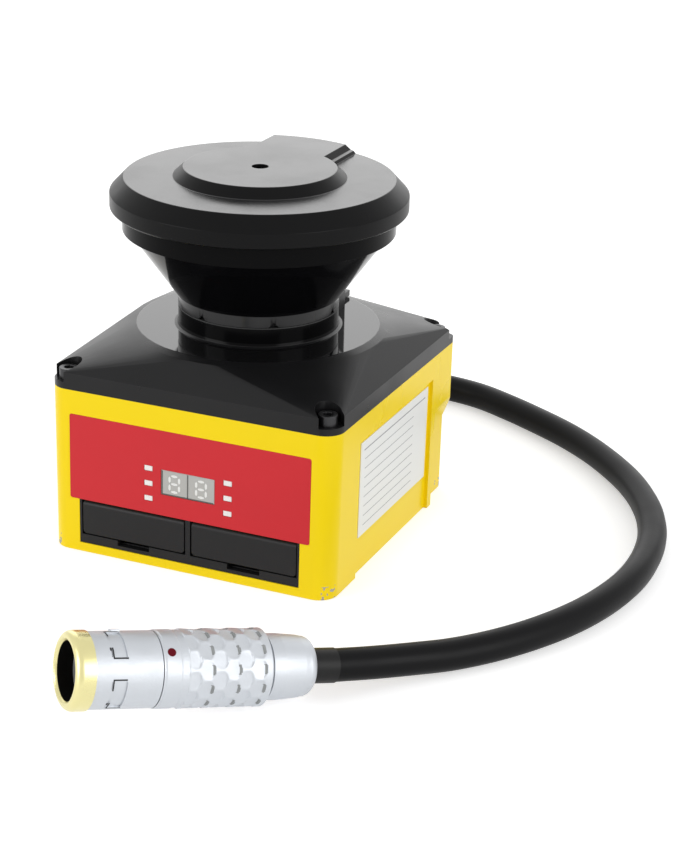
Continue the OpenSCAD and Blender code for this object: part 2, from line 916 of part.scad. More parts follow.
// The socket on the main board that takes the cable's leads.
module header_block() {
    half = lead_r + 0.8;
    translate([outlet_x + lead_bend_r, tail_start - lead_bend_r - half, main_board_top - eps])
        cube([6.5, 2 * half, outlet_z + lead_r + 1 - main_board_top]);
}

module bundle_hole() {
    translate([0, bundle_y, main_board_z - cut]) cylinder(r = bundle_r + fit, h = board_t + 2 * cut);
}

module chassis() {
    color("lightgray") difference() {
        union() {
            translate([0, chassis_y, chassis_z]) linear_extrude(chassis_t)
                rounded_rect(chassis_w, chassis_d, chassis_r);
            at_ring(3, motor_screw_r, 30)
                translate([0, 0, chassis_z - 2.5]) cylinder(r = 2.6, h = 2.5 + overlap);
        }
        at_four(mount_spacing_x / 2, mount_spacing_y / 2)
            translate([0, 0, chassis_z - cut]) cylinder(r = bolt_r + fit, h = chassis_t + 2 * cut);
        at_ring(3, motor_screw_r, 30)
            translate([0, 0, chassis_z - 4]) cylinder(r = bolt_r + fit, h = chassis_t + 6);
        translate([0, bundle_y, chassis_z - cut])
            cylinder(r = bundle_r + bundle_clear, h = chassis_t + 2 * cut);
    }
}

module machine_screws() {
    color("silver") {
        at_four(mount_spacing_x / 2, mount_spacing_y / 2)
            translate([0, 0, chassis_top]) machine_screw();
        at_ring(3, motor_screw_r, 30)
            translate([0, 0, motor_tube_z]) machine_screw();
        at_ring(3, cap_boss_at, -90)
            translate([0, 0, carrier_z]) mirror([0, 0, 1]) machine_screw();
    }
}

// ---- Scan motor ----

module motor_base() {
    color("silver") difference() {
        union() {
            translate([0, 0, chassis_top]) cylinder(r = motor_r, h = motor_flange_t);
            translate([0, 0, motor_tube_z - overlap]) cylinder(r = tube_r, h = motor_h + overlap);
        }
        translate([0, 0, motor_tube_z + fit]) cylinder(r = bearing_r + fit, h = bearing_h);
        translate([0, 0, motor_tube_z + fit]) cylinder(r = tube_bore_r, h = motor_h + cut);
        translate([0, 0, motor_tube_top - bearing_h]) cylinder(r = bearing_r + fit, h = bearing_h + cut);
        at_ring(3, motor_screw_r, 30)
            translate([0, 0, chassis_top - cut]) cylinder(r = bolt_r + fit, h = motor_flange_t + 2 * cut);
    }
}

module motor_stator() {
    core_r = tube_r + core_wall;
    color("peru") translate([0, 0, stator_z]) linear_extrude(stator_h) difference() {
        union() {
            circle(core_r);
            for (i = [0 : 8]) rotate(i * 40) {
                translate([0, -tooth_w / 2]) square([stator_r - coil_gap, tooth_w]);
                translate([core_r - overlap, -coil_w / 2]) square([coil_t, coil_w]);
            }
        }
        circle(tube_r + fit);
    }
}

module spindle_bearings() {
    color("lightsteelblue") for (z = [motor_tube_z + fit, motor_tube_top - bearing_h])
        translate([0, 0, z]) tube(bearing_r, spindle_r + spindle_gap, bearing_h - fit);
}

module spindle() {
    color("silver") translate([0, 0, spindle_bottom])
        cylinder(r = spindle_r, h = spindle_top - spindle_bottom);
}

module rotor_bell() {
    color("gray") difference() {
        union() {
            translate([0, 0, bell_bottom])
                cylinder(r = bell_r, h = bell_plate_z + bell_plate_t - bell_bottom);
            translate([0, 0, bell_plate_z]) cylinder(r = hub_r, h = bell_plate_t + hub_h);
        }
        translate([0, 0, bell_bottom - cut])
            cylinder(r = bell_in_r + fit, h = bell_plate_z - bell_bottom + cut);
        translate([0, 0, bell_bottom]) cylinder(r = spindle_r + eps, h = z_top);
    }
}

module rotor_magnets() {
    color("dimgray") translate([0, 0, stator_z]) tube(bell_in_r, magnet_in_r, stator_h);
}

module encoder_disc() {
    color("whitesmoke") translate([0, 0, encoder_z]) difference() {
        cylinder(r = encoder_r, h = encoder_t - eps);
        translate([0, 0, -cut]) cylinder(r = spindle_r + eps, h = encoder_t + 2 * cut);
        at_ring(encoder_slots, encoder_r - 1.3)
            translate([-0.6, -0.45, -cut]) cube([1.2, 0.9, encoder_t + 2 * cut]);
    }
}

module encoder_sensor() {
    slot = 3 * free;
    color([0.15, 0.15, 0.16]) rotate(180) difference() {
        union() {
            translate([sensor_post_r, -sensor_half_w, chassis_top])
                cube([sensor_out_r - sensor_post_r, 2 * sensor_half_w, encoder_z - chassis_top]);
            translate([sensor_in_r, -sensor_half_w, encoder_z - slot - 1])
                cube([sensor_out_r - sensor_in_r, 2 * sensor_half_w, 2 * slot + encoder_t + 2]);
        }
        translate([0, 0, encoder_z - slot]) cylinder(r = encoder_r + free, h = 2 * slot + encoder_t);
        cylinder(r = motor_r + free, h = motor_tube_z + 1);
    }
}

// Everything on the mirror side of the 45 degree plane through the scan axis.
module above_mirror(offset) {
    reach = 3 * holder_r;
    translate([0, 0, mirror_z + offset * sqrt(2)]) rotate([45, 0, 0])
        translate([-reach, -reach, 0]) cube([2 * reach, 2 * reach, reach]);
}

module mirror_holder() {
    color([0.2, 0.2, 0.22]) difference() {
        union() {
            translate([0, 0, holder_z]) cylinder(r = holder_foot_r, h = holder_foot_h + overlap);
            difference() {
                translate([0, 0, holder_z + holder_foot_h]) cylinder(r = holder_r, h = 2 * cone_h);
                above_mirror(-mirror_t);
            }
        }
        translate([0, 0, holder_z - cut])
            cylinder(r = spindle_r + eps, h = spindle_top - holder_z + cut + fit);
        above_mirror(-mirror_t);
    }
}

module scan_mirror() {
    color("azure") difference() {
        translate([0, 0, holder_z]) cylinder(r = holder_r, h = 2 * cone_h);
        above_mirror(0);
        difference() {
            translate([0, 0, holder_z - cut]) cylinder(r = holder_r + cut, h = 3 * cone_h);
            above_mirror(eps - mirror_t);
        }
    }
}

// ---- Column, window and cap ----

module window_profile(gap) {
    polygon([
        [foot_r - window_t, z_foot], [foot_r + gap, z_foot], [foot_r + gap, z_cone],
        [cone_foot_r + gap, z_cone], [cone_r + gap, z_window], [cone_r - window_t, z_window],
        [foot_r - window_t, z_cone]
    ]);
}

module behind_window(gap) {
    translate([-column_half_w - gap, 0, z_neck])
        cube([2 * (column_half_w + gap), 2 * cap_r, z_top]);
}

module optical_window() {
    notch = 1.3;
    color([0.05, 0.05, 0.06]) difference() {
        rotate_extrude() window_profile(0);
        behind_window(fit);
        for (i = [-1 : 2]) rotate(54 * i - 18)
            translate([0, -foot_r, z_foot]) rotate([90, 0, 0]) linear_extrude(2, center = true)
                polygon([[-notch - cut, -cut], [notch + cut, -cut], [0, notch]]);
    }
}

module window_gasket() {
    color("dimgray") difference() {
        translate([0, 0, z_neck]) tube(neck_r, neck_bore_r, gasket_t);
        translate([0, bundle_y, z_joint]) cylinder(r = bundle_r + bundle_clear, h = z_top);
    }
}

module cap_gasket() {
    color("dimgray") translate([0, 0, z_window]) tube(cone_r, cap_seat_r + fit, gasket_t);
}

module rear_column() {
    color([0.11, 0.11, 0.12]) difference() {
        union() {
            translate([-column_half_w, column_front, z_plateau])
                cube([2 * column_half_w, column_back - column_front, carrier_z - z_plateau]);
            intersection() {
                rotate_extrude() polygon([
                    [0, z_foot], [foot_r, z_foot], [foot_r, z_cone], [cone_foot_r, z_cone],
                    [cone_r, z_window], [0, z_window]
                ]);
                translate([-column_half_w, column_front, z_foot])
                    cube([2 * column_half_w, 2 * cap_r, z_top]);
            }
            translate([-column_tab_half_w, column_back - overlap, z_plateau])
                cube([2 * column_tab_half_w, column_tab_back - column_back + overlap, column_tab_t]);
        }
        translate([0, 0, z_plateau - cut]) cylinder(r = column_bore_r, h = z_top);
        translate([0, 0, z_plateau - cut]) cylinder(r = neck_r + fit, h = z_foot - z_plateau + cut);
        translate([0, bundle_y, z_plateau - cut]) cylinder(r = bundle_r + fit, h = z_top);
        column_screw_axes() translate([0, 0, z_plateau - cut]) cylinder(r = bolt_r + fit, h = z_top);
    }
}

module column_screws() {
    color("silver") column_screw_axes() translate([0, 0, z_plateau - cover_t])
        mirror([0, 0, 1])
            screw(bolt_r, carrier_top - z_plateau + cover_t, bolt_head_r, bolt_head_h,
                  bolt_key_r, bolt_key_depth);
}

module wire_bundle() {
    color("steelblue") translate([0, bundle_y, main_board_z])
        cylinder(r = bundle_r, h = barrel_top - main_board_z);
}

module cap_wedge() {
    intersection() {
        translate([0, disc_r / 2, z_flat]) upright(cap_r) polygon(concat(
            [for (p = wedge_side) [wedge_half_w + p[0], p[1]]],
            [for (i = [len(wedge_side) - 1 : -1 : 0])
                [-wedge_half_w - wedge_side[i][0], wedge_side[i][1]]]
        ));
        translate([0, 0, z_flat - overlap])
            cylinder(r1 = cap_flat_r + overlap * shoulder_run, r2 = cap_flat_r - disc_h * shoulder_run,
                     h = disc_h + overlap);
    }
}

module cap_shell() {
    rotate_extrude() polygon([
        [cap_seat_r, z_cap], [skirt_r, z_cap], [skirt_r, z_rim], [cap_r - rim_round, z_rim],
        [cap_r, z_rim + rim_round], [cap_r, z_shoulder],
        [cap_flat_r, z_flat], [0, z_flat], [0, cap_ceiling],
        [cap_flat_r - cap_t / 2, cap_ceiling], [cap_r - cap_t, z_shoulder - cap_t / 2],
        [cap_r - cap_t, z_rim + cap_t], [skirt_r - cap_t, z_rim + cap_t],
        [skirt_r - cap_t, z_cap + cap_seat_t], [cap_seat_r, z_cap + cap_seat_t]
    ]);
}

module top_cap() {
    color([0.11, 0.11, 0.12]) difference() {
        union() {
            cap_shell();
            translate([0, 0, z_flat - overlap])
                cylinder(r1 = disc_r + (disc_h + overlap) * disc_slope, r2 = disc_r,
                         h = disc_h + overlap);
            cap_wedge();
            at_ring(3, cap_boss_at, -90)
                translate([0, 0, carrier_top])
                    cylinder(r = cap_boss_r, h = cap_ceiling - carrier_top + overlap);
        }
        translate([0, 0, z_top - cap_hole_depth]) cylinder(r = cap_hole_r, h = cap_hole_depth + cut);
        at_ring(3, cap_boss_at, -90)
            translate([0, 0, carrier_top - cut]) cylinder(r = bolt_r + fit, h = bolt_l);
    }
}

module optics_carrier() {
    color([0.3, 0.3, 0.32]) difference() {
        union() {
            translate([0, 0, carrier_z]) cylinder(r = carrier_r, h = carrier_t);
            translate([0, 0, barrel_bottom]) cylinder(r = barrel_r, h = barrel_top - barrel_bottom);
        }
        translate([0, 0, barrel_bottom - cut]) cylinder(r = lens_ledge_r, h = lens_ledge_t + 2 * cut);
        translate([0, 0, barrel_bottom + lens_ledge_t])
            cylinder(r = barrel_in_r, h = barrel_top - barrel_bottom);
        at_ring(3, cap_boss_at, -90)
            translate([0, 0, carrier_z - cut]) cylinder(r = bolt_r + fit, h = carrier_t + 2 * cut);
        column_screw_axes() translate([0, 0, carrier_z - cut])
            cylinder(r = bolt_r + fit, h = carrier_t + 2 * cut);
        translate([0, bundle_y, carrier_z - cut]) cylinder(r = bundle_r + fit, h = carrier_t + 2 * cut);
    }
}

module receiver_lens() {
    base = barrel_bottom + lens_ledge_t + eps;
    dome_r = (pow(lens_ledge_r, 2) + pow(lens_bulge, 2)) / (2 * lens_bulge);
    color("lightcyan") difference() {
        union() {
            translate([0, 0, base]) cylinder(r = barrel_in_r - fit, h = lens_edge_t);
            translate([0, 0, base + lens_edge_t]) intersection() {
                translate([0, 0, lens_bulge - dome_r]) sphere(r = dome_r);
                cylinder(r = lens_ledge_r, h = lens_bulge + cut);
            }
        }
        translate([0, 0, base - cut]) cylinder(r = emitter_r + fit, h = lens_edge_t + lens_bulge + 2 * cut);
    }
}

module laser_emitter() {
    bottom = barrel_bottom + lens_ledge_t;
    color("goldenrod") translate([0, 0, bottom]) difference() {
        cylinder(r = emitter_r, h = barrel_top - bottom);
        translate([0, 0, -cut]) cylinder(r = emitter_r / 2, h = 2 * cut);
    }
}

module receiver_board() {
    color("darkgreen") translate([0, 0, barrel_top]) {
        cylinder(r = receiver_r, h = board_t);
        translate([-3, -3, board_t - eps]) cube([6, 6, 1.2]);
        translate([-2.5, 0, 0]) cube([5, bundle_y + bundle_r, board_t]);
    }
}

// ---- Cable outlet ----

module on_outlet() {
    translate([outlet_x, 0, outlet_z]) along_y() children();
}

module cable_gland() {
    color([0.25, 0.25, 0.27]) on_outlet() difference() {
        union() {
            translate([0, 0, outlet_face]) cylinder(r = gland_r, h = gland_flange_t);
            translate([0, 0, tail_start])
                cylinder(r = gland_tube_r, h = outlet_face - tail_start + overlap);
        }
        cylinder(r = cable_r + fit, h = body_d);
    }
}

module gland_nut() {
    color("silver") on_outlet() translate([0, 0, cavity_d / 2 - gland_nut_t]) difference() {
        cylinder(r = gland_nut_r, h = gland_nut_t, $fn = 6);
        translate([0, 0, -cut]) cylinder(r = gland_tube_r + eps, h = gland_nut_t + 2 * cut);
    }
}

module cable_boot() {
    rib = boot_len / 10;
    color([0.12, 0.12, 0.12]) on_outlet() rotate_extrude() difference() {
        polygon([
            [cable_r + fit, boot_start], [boot_r, boot_start], [boot_r, boot_start + 2 * rib],
            [boot_tip_r, boot_end], [cable_r + fit, boot_end]
        ]);
        for (i = [1 : 3]) translate([boot_tip_r, boot_start + (2 * i + 0.5) * rib])
            square([boot_r, rib]);
    }
}

module cable_tail() {
    color([0.14, 0.14, 0.14]) on_outlet() translate([0, 0, tail_start])
        cylinder(r = cable_r, h = boot_end - tail_start);
}

// The leads turn from the cable's end into the header on the main board.
module lead_wires() {
    color("firebrick") translate([outlet_x + lead_bend_r, tail_start, outlet_z])
        rotate([0, 0, 180]) rotate_extrude(angle = 90) translate([lead_bend_r, 0]) circle(lead_r);
}

// ---- Cable ----

function unit(v) = v / norm(v);

// Direction of the route at each of its points, and a level vector across it.
function route_dir(i) =
    let (a = max(i - 1, 0), b = min(i + 1, len(cable_route) - 1))
    i == 0 ? [0, 1, 0]
    : i == len(cable_route) - 1 ? plug_dir
    : unit(cable_route[b] - cable_route[a]);
function ring_points(i) =
    let (d = route_dir(i), side = unit(cross(d, [0, 0, 1])), rise = cross(side, d))
    [for (k = [0 : cable_sides - 1])
        let (t = k * 360 / cable_sides)
        cable_route[i] + cable_r * (cos(t) * side + sin(t) * rise)];

module cable() {
    rings = len(cable_route);
    last = (rings - 1) * cable_sides;
    color([0.14, 0.14, 0.14]) polyhedron(
        points = [for (i = [0 : rings - 1]) each ring_points(i)],
        faces = concat(
            [[for (k = [0 : cable_sides - 1]) k]],
            [[for (k = [cable_sides - 1 : -1 : 0]) last + k]],
            [for (i = [0 : rings - 2], k = [0 : cable_sides - 1])
                let (a = i * cable_sides, b = a + cable_sides, n = (k + 1) % cable_sides)
                [a + k, b + k, b + n, a + n]]
        )
    );
}

// ---- Plug ----

module cable_collar() {
    color([0.3, 0.3, 0.3]) on_plug() translate([0, 0, plug_len])
        cylinder(r = collar_r, h = collar_len);
}

module plug_nut() {
    color("silver") on_plug() rotate_extrude() polygon(concat(
        [[collar_r, plug_len], [collar_r, core_end - nut_spigot],
         [core_bore_r - fit, core_end - nut_spigot], [core_bore_r - fit, core_end],
         [nut_r, core_end], [nut_r, core_end + 3], [nut_end_r + 0.5, plug_len - 3.4]],
        [for (t = [0 : 15 : 75])
            [nut_end_r - 1.9 + 2.2 * cos(t), plug_len - 2.4 + 2.4 * sin(t)]]
    ));
}

// Facets of the grip: neighbouring rows of points stand high and low in turn.
module knurl() {
    first = grip_start + grip_collar;
    step = (grip_end - first) / knurl_rows;
    around = 2 * knurl_count;
    last = knurl_rows * around;
    polyhedron(
        points = [for (row = [0 : knurl_rows], k = [0 : around - 1])
            let (high = row == 0 || (row + k) % 2 == 0, r = high ? grip_r : grip_r - knurl_depth)
            [r * cos(k * 180 / knurl_count), r * sin(k * 180 / knurl_count), first + row * step]],
        faces = concat(
            [[for (k = [0 : around - 1]) k]],
            [[for (k = [around - 1 : -1 : 0]) last + k]],
            [for (row = [0 : knurl_rows - 1], k = [0 : around - 1])
                let (a = row * around, b = a + around, n = (k + 1) % around)
                each (row + k) % 2 == 0
                    ? [[a + k, b + k, a + n], [a + n, b + k, b + n]]
                    : [[a + k, b + k, b + n], [a + k, b + n, a + n]]]
        )
    );
}

module plug_grip() {
    color("silver") on_plug() difference() {
        union() {
            translate([0, 0, grip_start]) cylinder(r = grip_r - 0.2, h = grip_collar + overlap);
            knurl();
        }
        translate([0, 0, grip_start - cut]) cylinder(r = core_r + slide / 2, h = plug_len);
        translate([0, 0, grip_end - grip_travel - 2])
            cylinder(r = nut_r + free, h = plug_len);
        translate([0, 0, dot_at]) rotate(dot_turn) translate([grip_r - 0.7, 0, 0])
            rotate([0, 90, 0]) cylinder(r = dot_r + eps, h = 2);
    }
}

module plug_index_dot() {
    color("darkred") on_plug() translate([0, 0, dot_at]) rotate(dot_turn)
        translate([grip_r - 0.7 + eps, 0, 0]) rotate([0, 90, 0]) cylinder(r = dot_r, h = 0.55);
}

module plug_shell() {
    color("silver") on_plug() difference() {
        union() {
            translate([0, 0, ring_len]) cylinder(r = shell_r, h = shell_end - ring_len);
            translate([0, 0, ring_len]) cylinder(r = core_r, h = core_end - ring_len);
            translate([0, 0, key_at]) rotate(key_turn) translate([shell_r, 0, 0])
                cube(key_size, center = true);
        }
        translate([0, 0, ring_len - cut]) cylinder(r = core_bore_r, h = plug_len);
        translate([0, 0, ring_len - cut]) cylinder(r = mouth_r, h = insert_face - ring_len + cut);
        for (i = [0 : 3]) rotate(latch_turn + 90 * i - latch_angle / 2)
            rotate_extrude(angle = latch_angle) translate([shell_r - latch_depth, latch_start])
                square([latch_depth + cut, latch_len]);
    }
}

module plug_ring() {
    color("goldenrod") on_plug() rotate_extrude() polygon(concat(
        [[mouth_r, ring_len], [mouth_r, 0.6], [mouth_r + 0.5, 0]],
        [for (t = [-90 : 15 : 0])
            [ring_r - ring_round + ring_round * cos(t), ring_round + ring_round * sin(t)]],
        [[ring_r, ring_len]]
    ));
}

module plug_insert() {
    color([0.1, 0.1, 0.1]) on_plug() translate([0, 0, insert_face]) difference() {
        cylinder(r = core_bore_r - fit, h = insert_len);
        at_ring(pin_count, pin_circle_r)
            translate([0, 0, -cut]) cylinder(r = pin_r + eps, h = pin_len + cut);
        translate([-1.2, core_bore_r - 1, -cut]) cube([2.4, 2, insert_len / 2]);
    }
}

module plug_contacts() {
    color("goldenrod") on_plug() at_ring(pin_count, pin_circle_r)
        translate([0, 0, insert_face]) cylinder(r = pin_r, h = pin_len);
}

housing();
side_label();
top_cover();
cover_gasket();
cover_screws();
front_panel();
display_window();
display_module();
status_lights();
front_board();
board_screws();
port_frame();
port_cover_left();
port_cover_right();
hinge_pin();
data_socket();
reset_button();
main_board();
chassis();
machine_screws();
motor_base();
motor_stator();
spindle_bearings();
spindle();
rotor_bell();
rotor_magnets();
encoder_disc();
encoder_sensor();
mirror_holder();
scan_mirror();
rear_column();
column_screws();
wire_bundle();
window_gasket();
optical_window();
cap_gasket();
top_cap();
optics_carrier();
receiver_lens();
laser_emitter();
receiver_board();
cable_gland();
gland_nut();
cable_boot();
cable_tail();
lead_wires();
cable();
cable_collar();
plug_nut();
plug_grip();
plug_index_dot();
plug_shell();
plug_ring();
plug_insert();
plug_contacts();
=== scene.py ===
# %% [markdown]
# # A safety laser scanner with its plug
# The scanner watches an area round a machine. Its yellow cast housing carries a black cover,
# a flared dark window and a round cap. This lesson dresses the solid model: it loads the
# model as a fixed frame, lights it, gives every piece a finish and adds the small forms
# that a solid model leaves out. Lengths are written in millimetres and turned into metres
# with MM, and the axes are the solid model's: the front faces -Y and the base lies at Z = 0.

# %% Load the frame
import json
import math

import bmesh
import bpy
from mathutils import Matrix, Quaternion, Vector

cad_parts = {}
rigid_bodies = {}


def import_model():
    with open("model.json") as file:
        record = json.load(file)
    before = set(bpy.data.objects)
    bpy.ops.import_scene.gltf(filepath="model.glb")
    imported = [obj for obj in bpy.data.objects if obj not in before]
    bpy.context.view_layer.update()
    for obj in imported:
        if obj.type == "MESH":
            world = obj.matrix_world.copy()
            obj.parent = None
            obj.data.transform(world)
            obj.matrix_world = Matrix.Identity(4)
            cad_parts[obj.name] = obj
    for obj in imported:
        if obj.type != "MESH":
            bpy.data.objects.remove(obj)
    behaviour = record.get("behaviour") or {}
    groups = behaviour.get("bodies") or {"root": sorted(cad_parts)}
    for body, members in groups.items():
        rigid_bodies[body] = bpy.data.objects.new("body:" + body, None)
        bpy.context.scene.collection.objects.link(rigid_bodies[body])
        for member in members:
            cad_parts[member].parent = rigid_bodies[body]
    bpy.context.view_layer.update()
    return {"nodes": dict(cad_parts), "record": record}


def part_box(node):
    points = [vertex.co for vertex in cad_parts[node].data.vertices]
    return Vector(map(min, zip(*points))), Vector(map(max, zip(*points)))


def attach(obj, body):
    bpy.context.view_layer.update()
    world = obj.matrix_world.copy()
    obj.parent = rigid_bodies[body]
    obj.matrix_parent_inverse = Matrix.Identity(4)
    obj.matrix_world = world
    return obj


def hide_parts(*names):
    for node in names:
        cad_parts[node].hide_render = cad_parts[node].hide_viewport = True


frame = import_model()
nodes = frame["nodes"]
body_of = {n: b for b, names in frame["record"]["behaviour"]["bodies"].items() for n in names}
slot_of = {p["node"]: p["material_slot"] for p in frame["record"]["subparts"]}
MM = 0.001


def in_mm(corners):
    return [[round(c / MM, 1) for c in corner] for corner in corners]


# %% [markdown]
# ## The camera
# A product picture is taken with a long lens from a little above, so that upright edges stay
# nearly parallel. A camera could be turned by three angles, but it is easier to say where it
# stands and what it looks at: its own -Z axis is then aimed at that point. The last small turn
# about the line of sight is the tilt that a hand-held camera has.

# %% Camera
def aimed_camera(place, target, roll_degrees, lens):
    camera = bpy.data.objects.new("studio_camera", bpy.data.cameras.new("studio_camera"))
    bpy.context.scene.collection.objects.link(camera)
    camera.location = place
    camera.rotation_mode = "QUATERNION"
    aim = (Vector(target) - Vector(place)).to_track_quat("-Z", "Y")
    camera.rotation_quaternion = aim @ Quaternion((0, 0, 1), math.radians(roll_degrees))
    camera.data.lens = lens
    camera.data.clip_start, camera.data.clip_end = 0.01, 20
    bpy.context.scene.camera = camera
    return camera


camera = aimed_camera(place=(0.23675, -0.50211, 0.24635), target=(0.01999, 0.013088, 0.024566),
                      roll_degrees=1.555, lens=97.1)
bpy.context.scene.view_settings.view_transform = "Standard"
print("lens", camera.data.lens, "mm")

# %% [markdown]
# ## The cable
# The cable leaves the rear wall through a tapered boot, curls round on the table and ends in
# the plug. A cable is best drawn as one curve with a round section: the curve's line is its
# route. A chain of straight tubes would show its joints, and a curve bends evenly. Its section
# is a circle of one metre that each point's own radius brings down to the real size, so the
# curve's box is right too. The route is the one that the solid cable follows.

# %% Cable curve
cable_route = [
    (-24, 61.8, 12), (-22.6, 75.4, 10.8), (-17.2, 87, 8.6), (-8.8, 95.4, 6.2), (1.6, 100.8, 4.6),
    (13.4, 102.8, 3.9), (25.2, 100.8, 3.8), (36.6, 95.6, 3.8), (47.4, 89.6, 3.8), (58, 83, 3.8),
    (67.8, 75.4, 3.8), (76.6, 67, 3.8), (84.8, 57.6, 3.8), (91.6, 47.4, 3.8), (96.8, 37, 3.8),
    (100.8, 25, 3.8), (102.9, 12.6, 3.8), (103.3, -0.4, 3.8), (101.6, -13.4, 3.8),
    (98, -26.2, 3.8), (92.6, -38.2, 3.8), (85.8, -49.2, 3.8), (78, -59, 4), (70.4, -67, 4.7),
    (63.6, -74, 5.5), (57.3, -80.2, 6.35),
]
cable_d = 7.6 * MM


def smooth_curve(name, points, radius):
    """A curve through the points whose handles follow its neighbours' direction."""
    data = bpy.data.curves.new(name, "CURVE")
    data.dimensions = "3D"
    data.bevel_depth = 1.0
    data.bevel_resolution = 8
    data.resolution_u = 8
    data.use_fill_caps = True
    spline = data.splines.new("BEZIER")
    spline.bezier_points.add(len(points) - 1)
    places = [Vector(p) * MM for p in points]
    for i, point in enumerate(spline.bezier_points):
        before, after = places[max(i - 1, 0)], places[min(i + 1, len(places) - 1)]
        way = (after - before).normalized()
        point.co = places[i]
        point.radius = radius
        point.handle_left = places[i] - way * (places[i] - before).length / 3
        point.handle_right = places[i] + way * (after - places[i]).length / 3
    curve = bpy.data.objects.new(name, data)
    bpy.context.scene.collection.objects.link(curve)
    return curve


cable = smooth_curve("cable_sheath", cable_route, cable_d / 2)

# %% Cable facts
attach(cable, "base")
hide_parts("cable")
print("cable rides on the base and stands for its solid")

# %% [markdown]
# ## Table, light and background
# A catalogue picture has a white ground that fades into a white backdrop. More light would
# whiten the ground too, but it would bleach the object. So the ground is pale and glows a
# little, and the world is white, only for rays from the camera, from reflections and through
# glass: both look white while the light on the object stays plain, and a faint shadow is left.

# %% Rays that see the background
def seen_ray(tree, light_path):
    """One for a ray from the camera, a reflection or a pass through glass, else zero."""
    total = light_path.outputs["Is Camera Ray"]
    for kind in ("Is Glossy Ray", "Is Transmission Ray"):
        larger = tree.nodes.new("ShaderNodeMath")
        larger.operation = "MAXIMUM"
        tree.links.new(total, larger.inputs[0])
        tree.links.new(light_path.outputs[kind], larger.inputs[1])
        total = larger.outputs[0]
    return total


print("seen_ray() is ready")

# %% Ground
clear = bpy.ops.object.select_all
clear(action="DESELECT")
bpy.ops.mesh.primitive_plane_add(size=6, location=(0, 0, -0.0002))
ground = bpy.context.active_object
ground.name = "ground"
ground_finish = bpy.data.materials.new("white_ground")
ground_finish.use_nodes = True
tree = ground_finish.node_tree
surface = tree.nodes["Principled BSDF"]
ground_grey, ground_glow = 0.86, 0.5
surface.inputs["Base Color"].default_value = (ground_grey, ground_grey, ground_grey, 1)
surface.inputs["Roughness"].default_value = 0.9
surface.inputs["Specular IOR Level"].default_value = 0.1
light_path = tree.nodes.new("ShaderNodeLightPath")
glow = tree.nodes.new("ShaderNodeEmission")
lift = tree.nodes.new("ShaderNodeMath")
lift.operation = "MULTIPLY"
lift.inputs[1].default_value = ground_glow
both = tree.nodes.new("ShaderNodeAddShader")
tree.links.new(seen_ray(tree, light_path), lift.inputs[0])
tree.links.new(lift.outputs[0], glow.inputs["Strength"])
tree.links.new(surface.outputs[0], both.inputs[0])
tree.links.new(glow.outputs[0], both.inputs[1])
tree.links.new(both.outputs[0], tree.nodes["Material Output"].inputs["Surface"])
ground.data.materials.append(ground_finish)
print("ground is", round(ground.dimensions.x, 1), "m wide")

# %% World
world = bpy.data.worlds.new("studio_world")
bpy.context.scene.world = world
world.use_nodes = True
tree = world.node_tree
back = tree.nodes["Background"]
path = tree.nodes.new("ShaderNodeLightPath")
strength = tree.nodes.new("ShaderNodeMapRange")
strength.inputs["To Min"].default_value = 0.55
strength.inputs["To Max"].default_value = 1.0
tree.links.new(seen_ray(tree, path), strength.inputs["Value"])
tree.links.new(strength.outputs[0], back.inputs["Strength"])
back.inputs["Color"].default_value = (1, 1, 1, 1)
print("world strength", strength.inputs["To Min"].default_value, "on the object")

# %% [markdown]
# ## Lamps
# Three wide softboxes light the scanner. A small lamp would leave hard spots on glossy black
# plastic, and a wide one leaves a broad pale shape. The rear one stands low behind the scanner
# so that the cap's top and the polished plateau mirror it, while the upright walls stay dark.

# %% Lamps
def soft_lamp(name, place, target, width, height, watts):
    data = bpy.data.lights.new(name, "AREA")
    data.shape = "RECTANGLE"
    data.size, data.size_y, data.energy = width, height, watts
    lamp = bpy.data.objects.new(name, data)
    bpy.context.scene.collection.objects.link(lamp)
    lamp.location = place
    lamp.rotation_euler = (Vector(target) - Vector(place)).to_track_quat("-Z", "Y").to_euler()
    return lamp


scanner_middle = (0, 0, 0.045)
soft_lamp("left_softbox", (-0.9, -1.1, 0.5), scanner_middle, 0.8, 0.8, 9)
soft_lamp("right_softbox", (1.2, -0.35, 0.5), scanner_middle, 0.8, 0.8, 7)
soft_lamp("rear_softbox", (-0.58, 1.44, 0.75), scanner_middle, 2.4, 1.2, 9)

# %% [markdown]
# ## Finishes
# Each finish is a material with one Principled BSDF. Moulded plastic, cast paint and turned
# metal all have a faint unevenness in them. It could be drawn anew in each material, but two
# node groups make it once: one gives a fine grain as a normal, the other gives cloudy changes
# of roughness and a mask that lets the colour drift a little.

# %% Group for grain
def new_group(name, inputs, outputs):
    group = bpy.data.node_groups.new(name, "ShaderNodeTree")
    for title, kind, value in inputs:
        socket = group.interface.new_socket(title, in_out="INPUT", socket_type=kind)
        if value is not None:
            socket.default_value = value
    for title, kind in outputs:
        group.interface.new_socket(title, in_out="OUTPUT", socket_type=kind)
    return group, group.nodes.new("NodeGroupInput"), group.nodes.new("NodeGroupOutput")


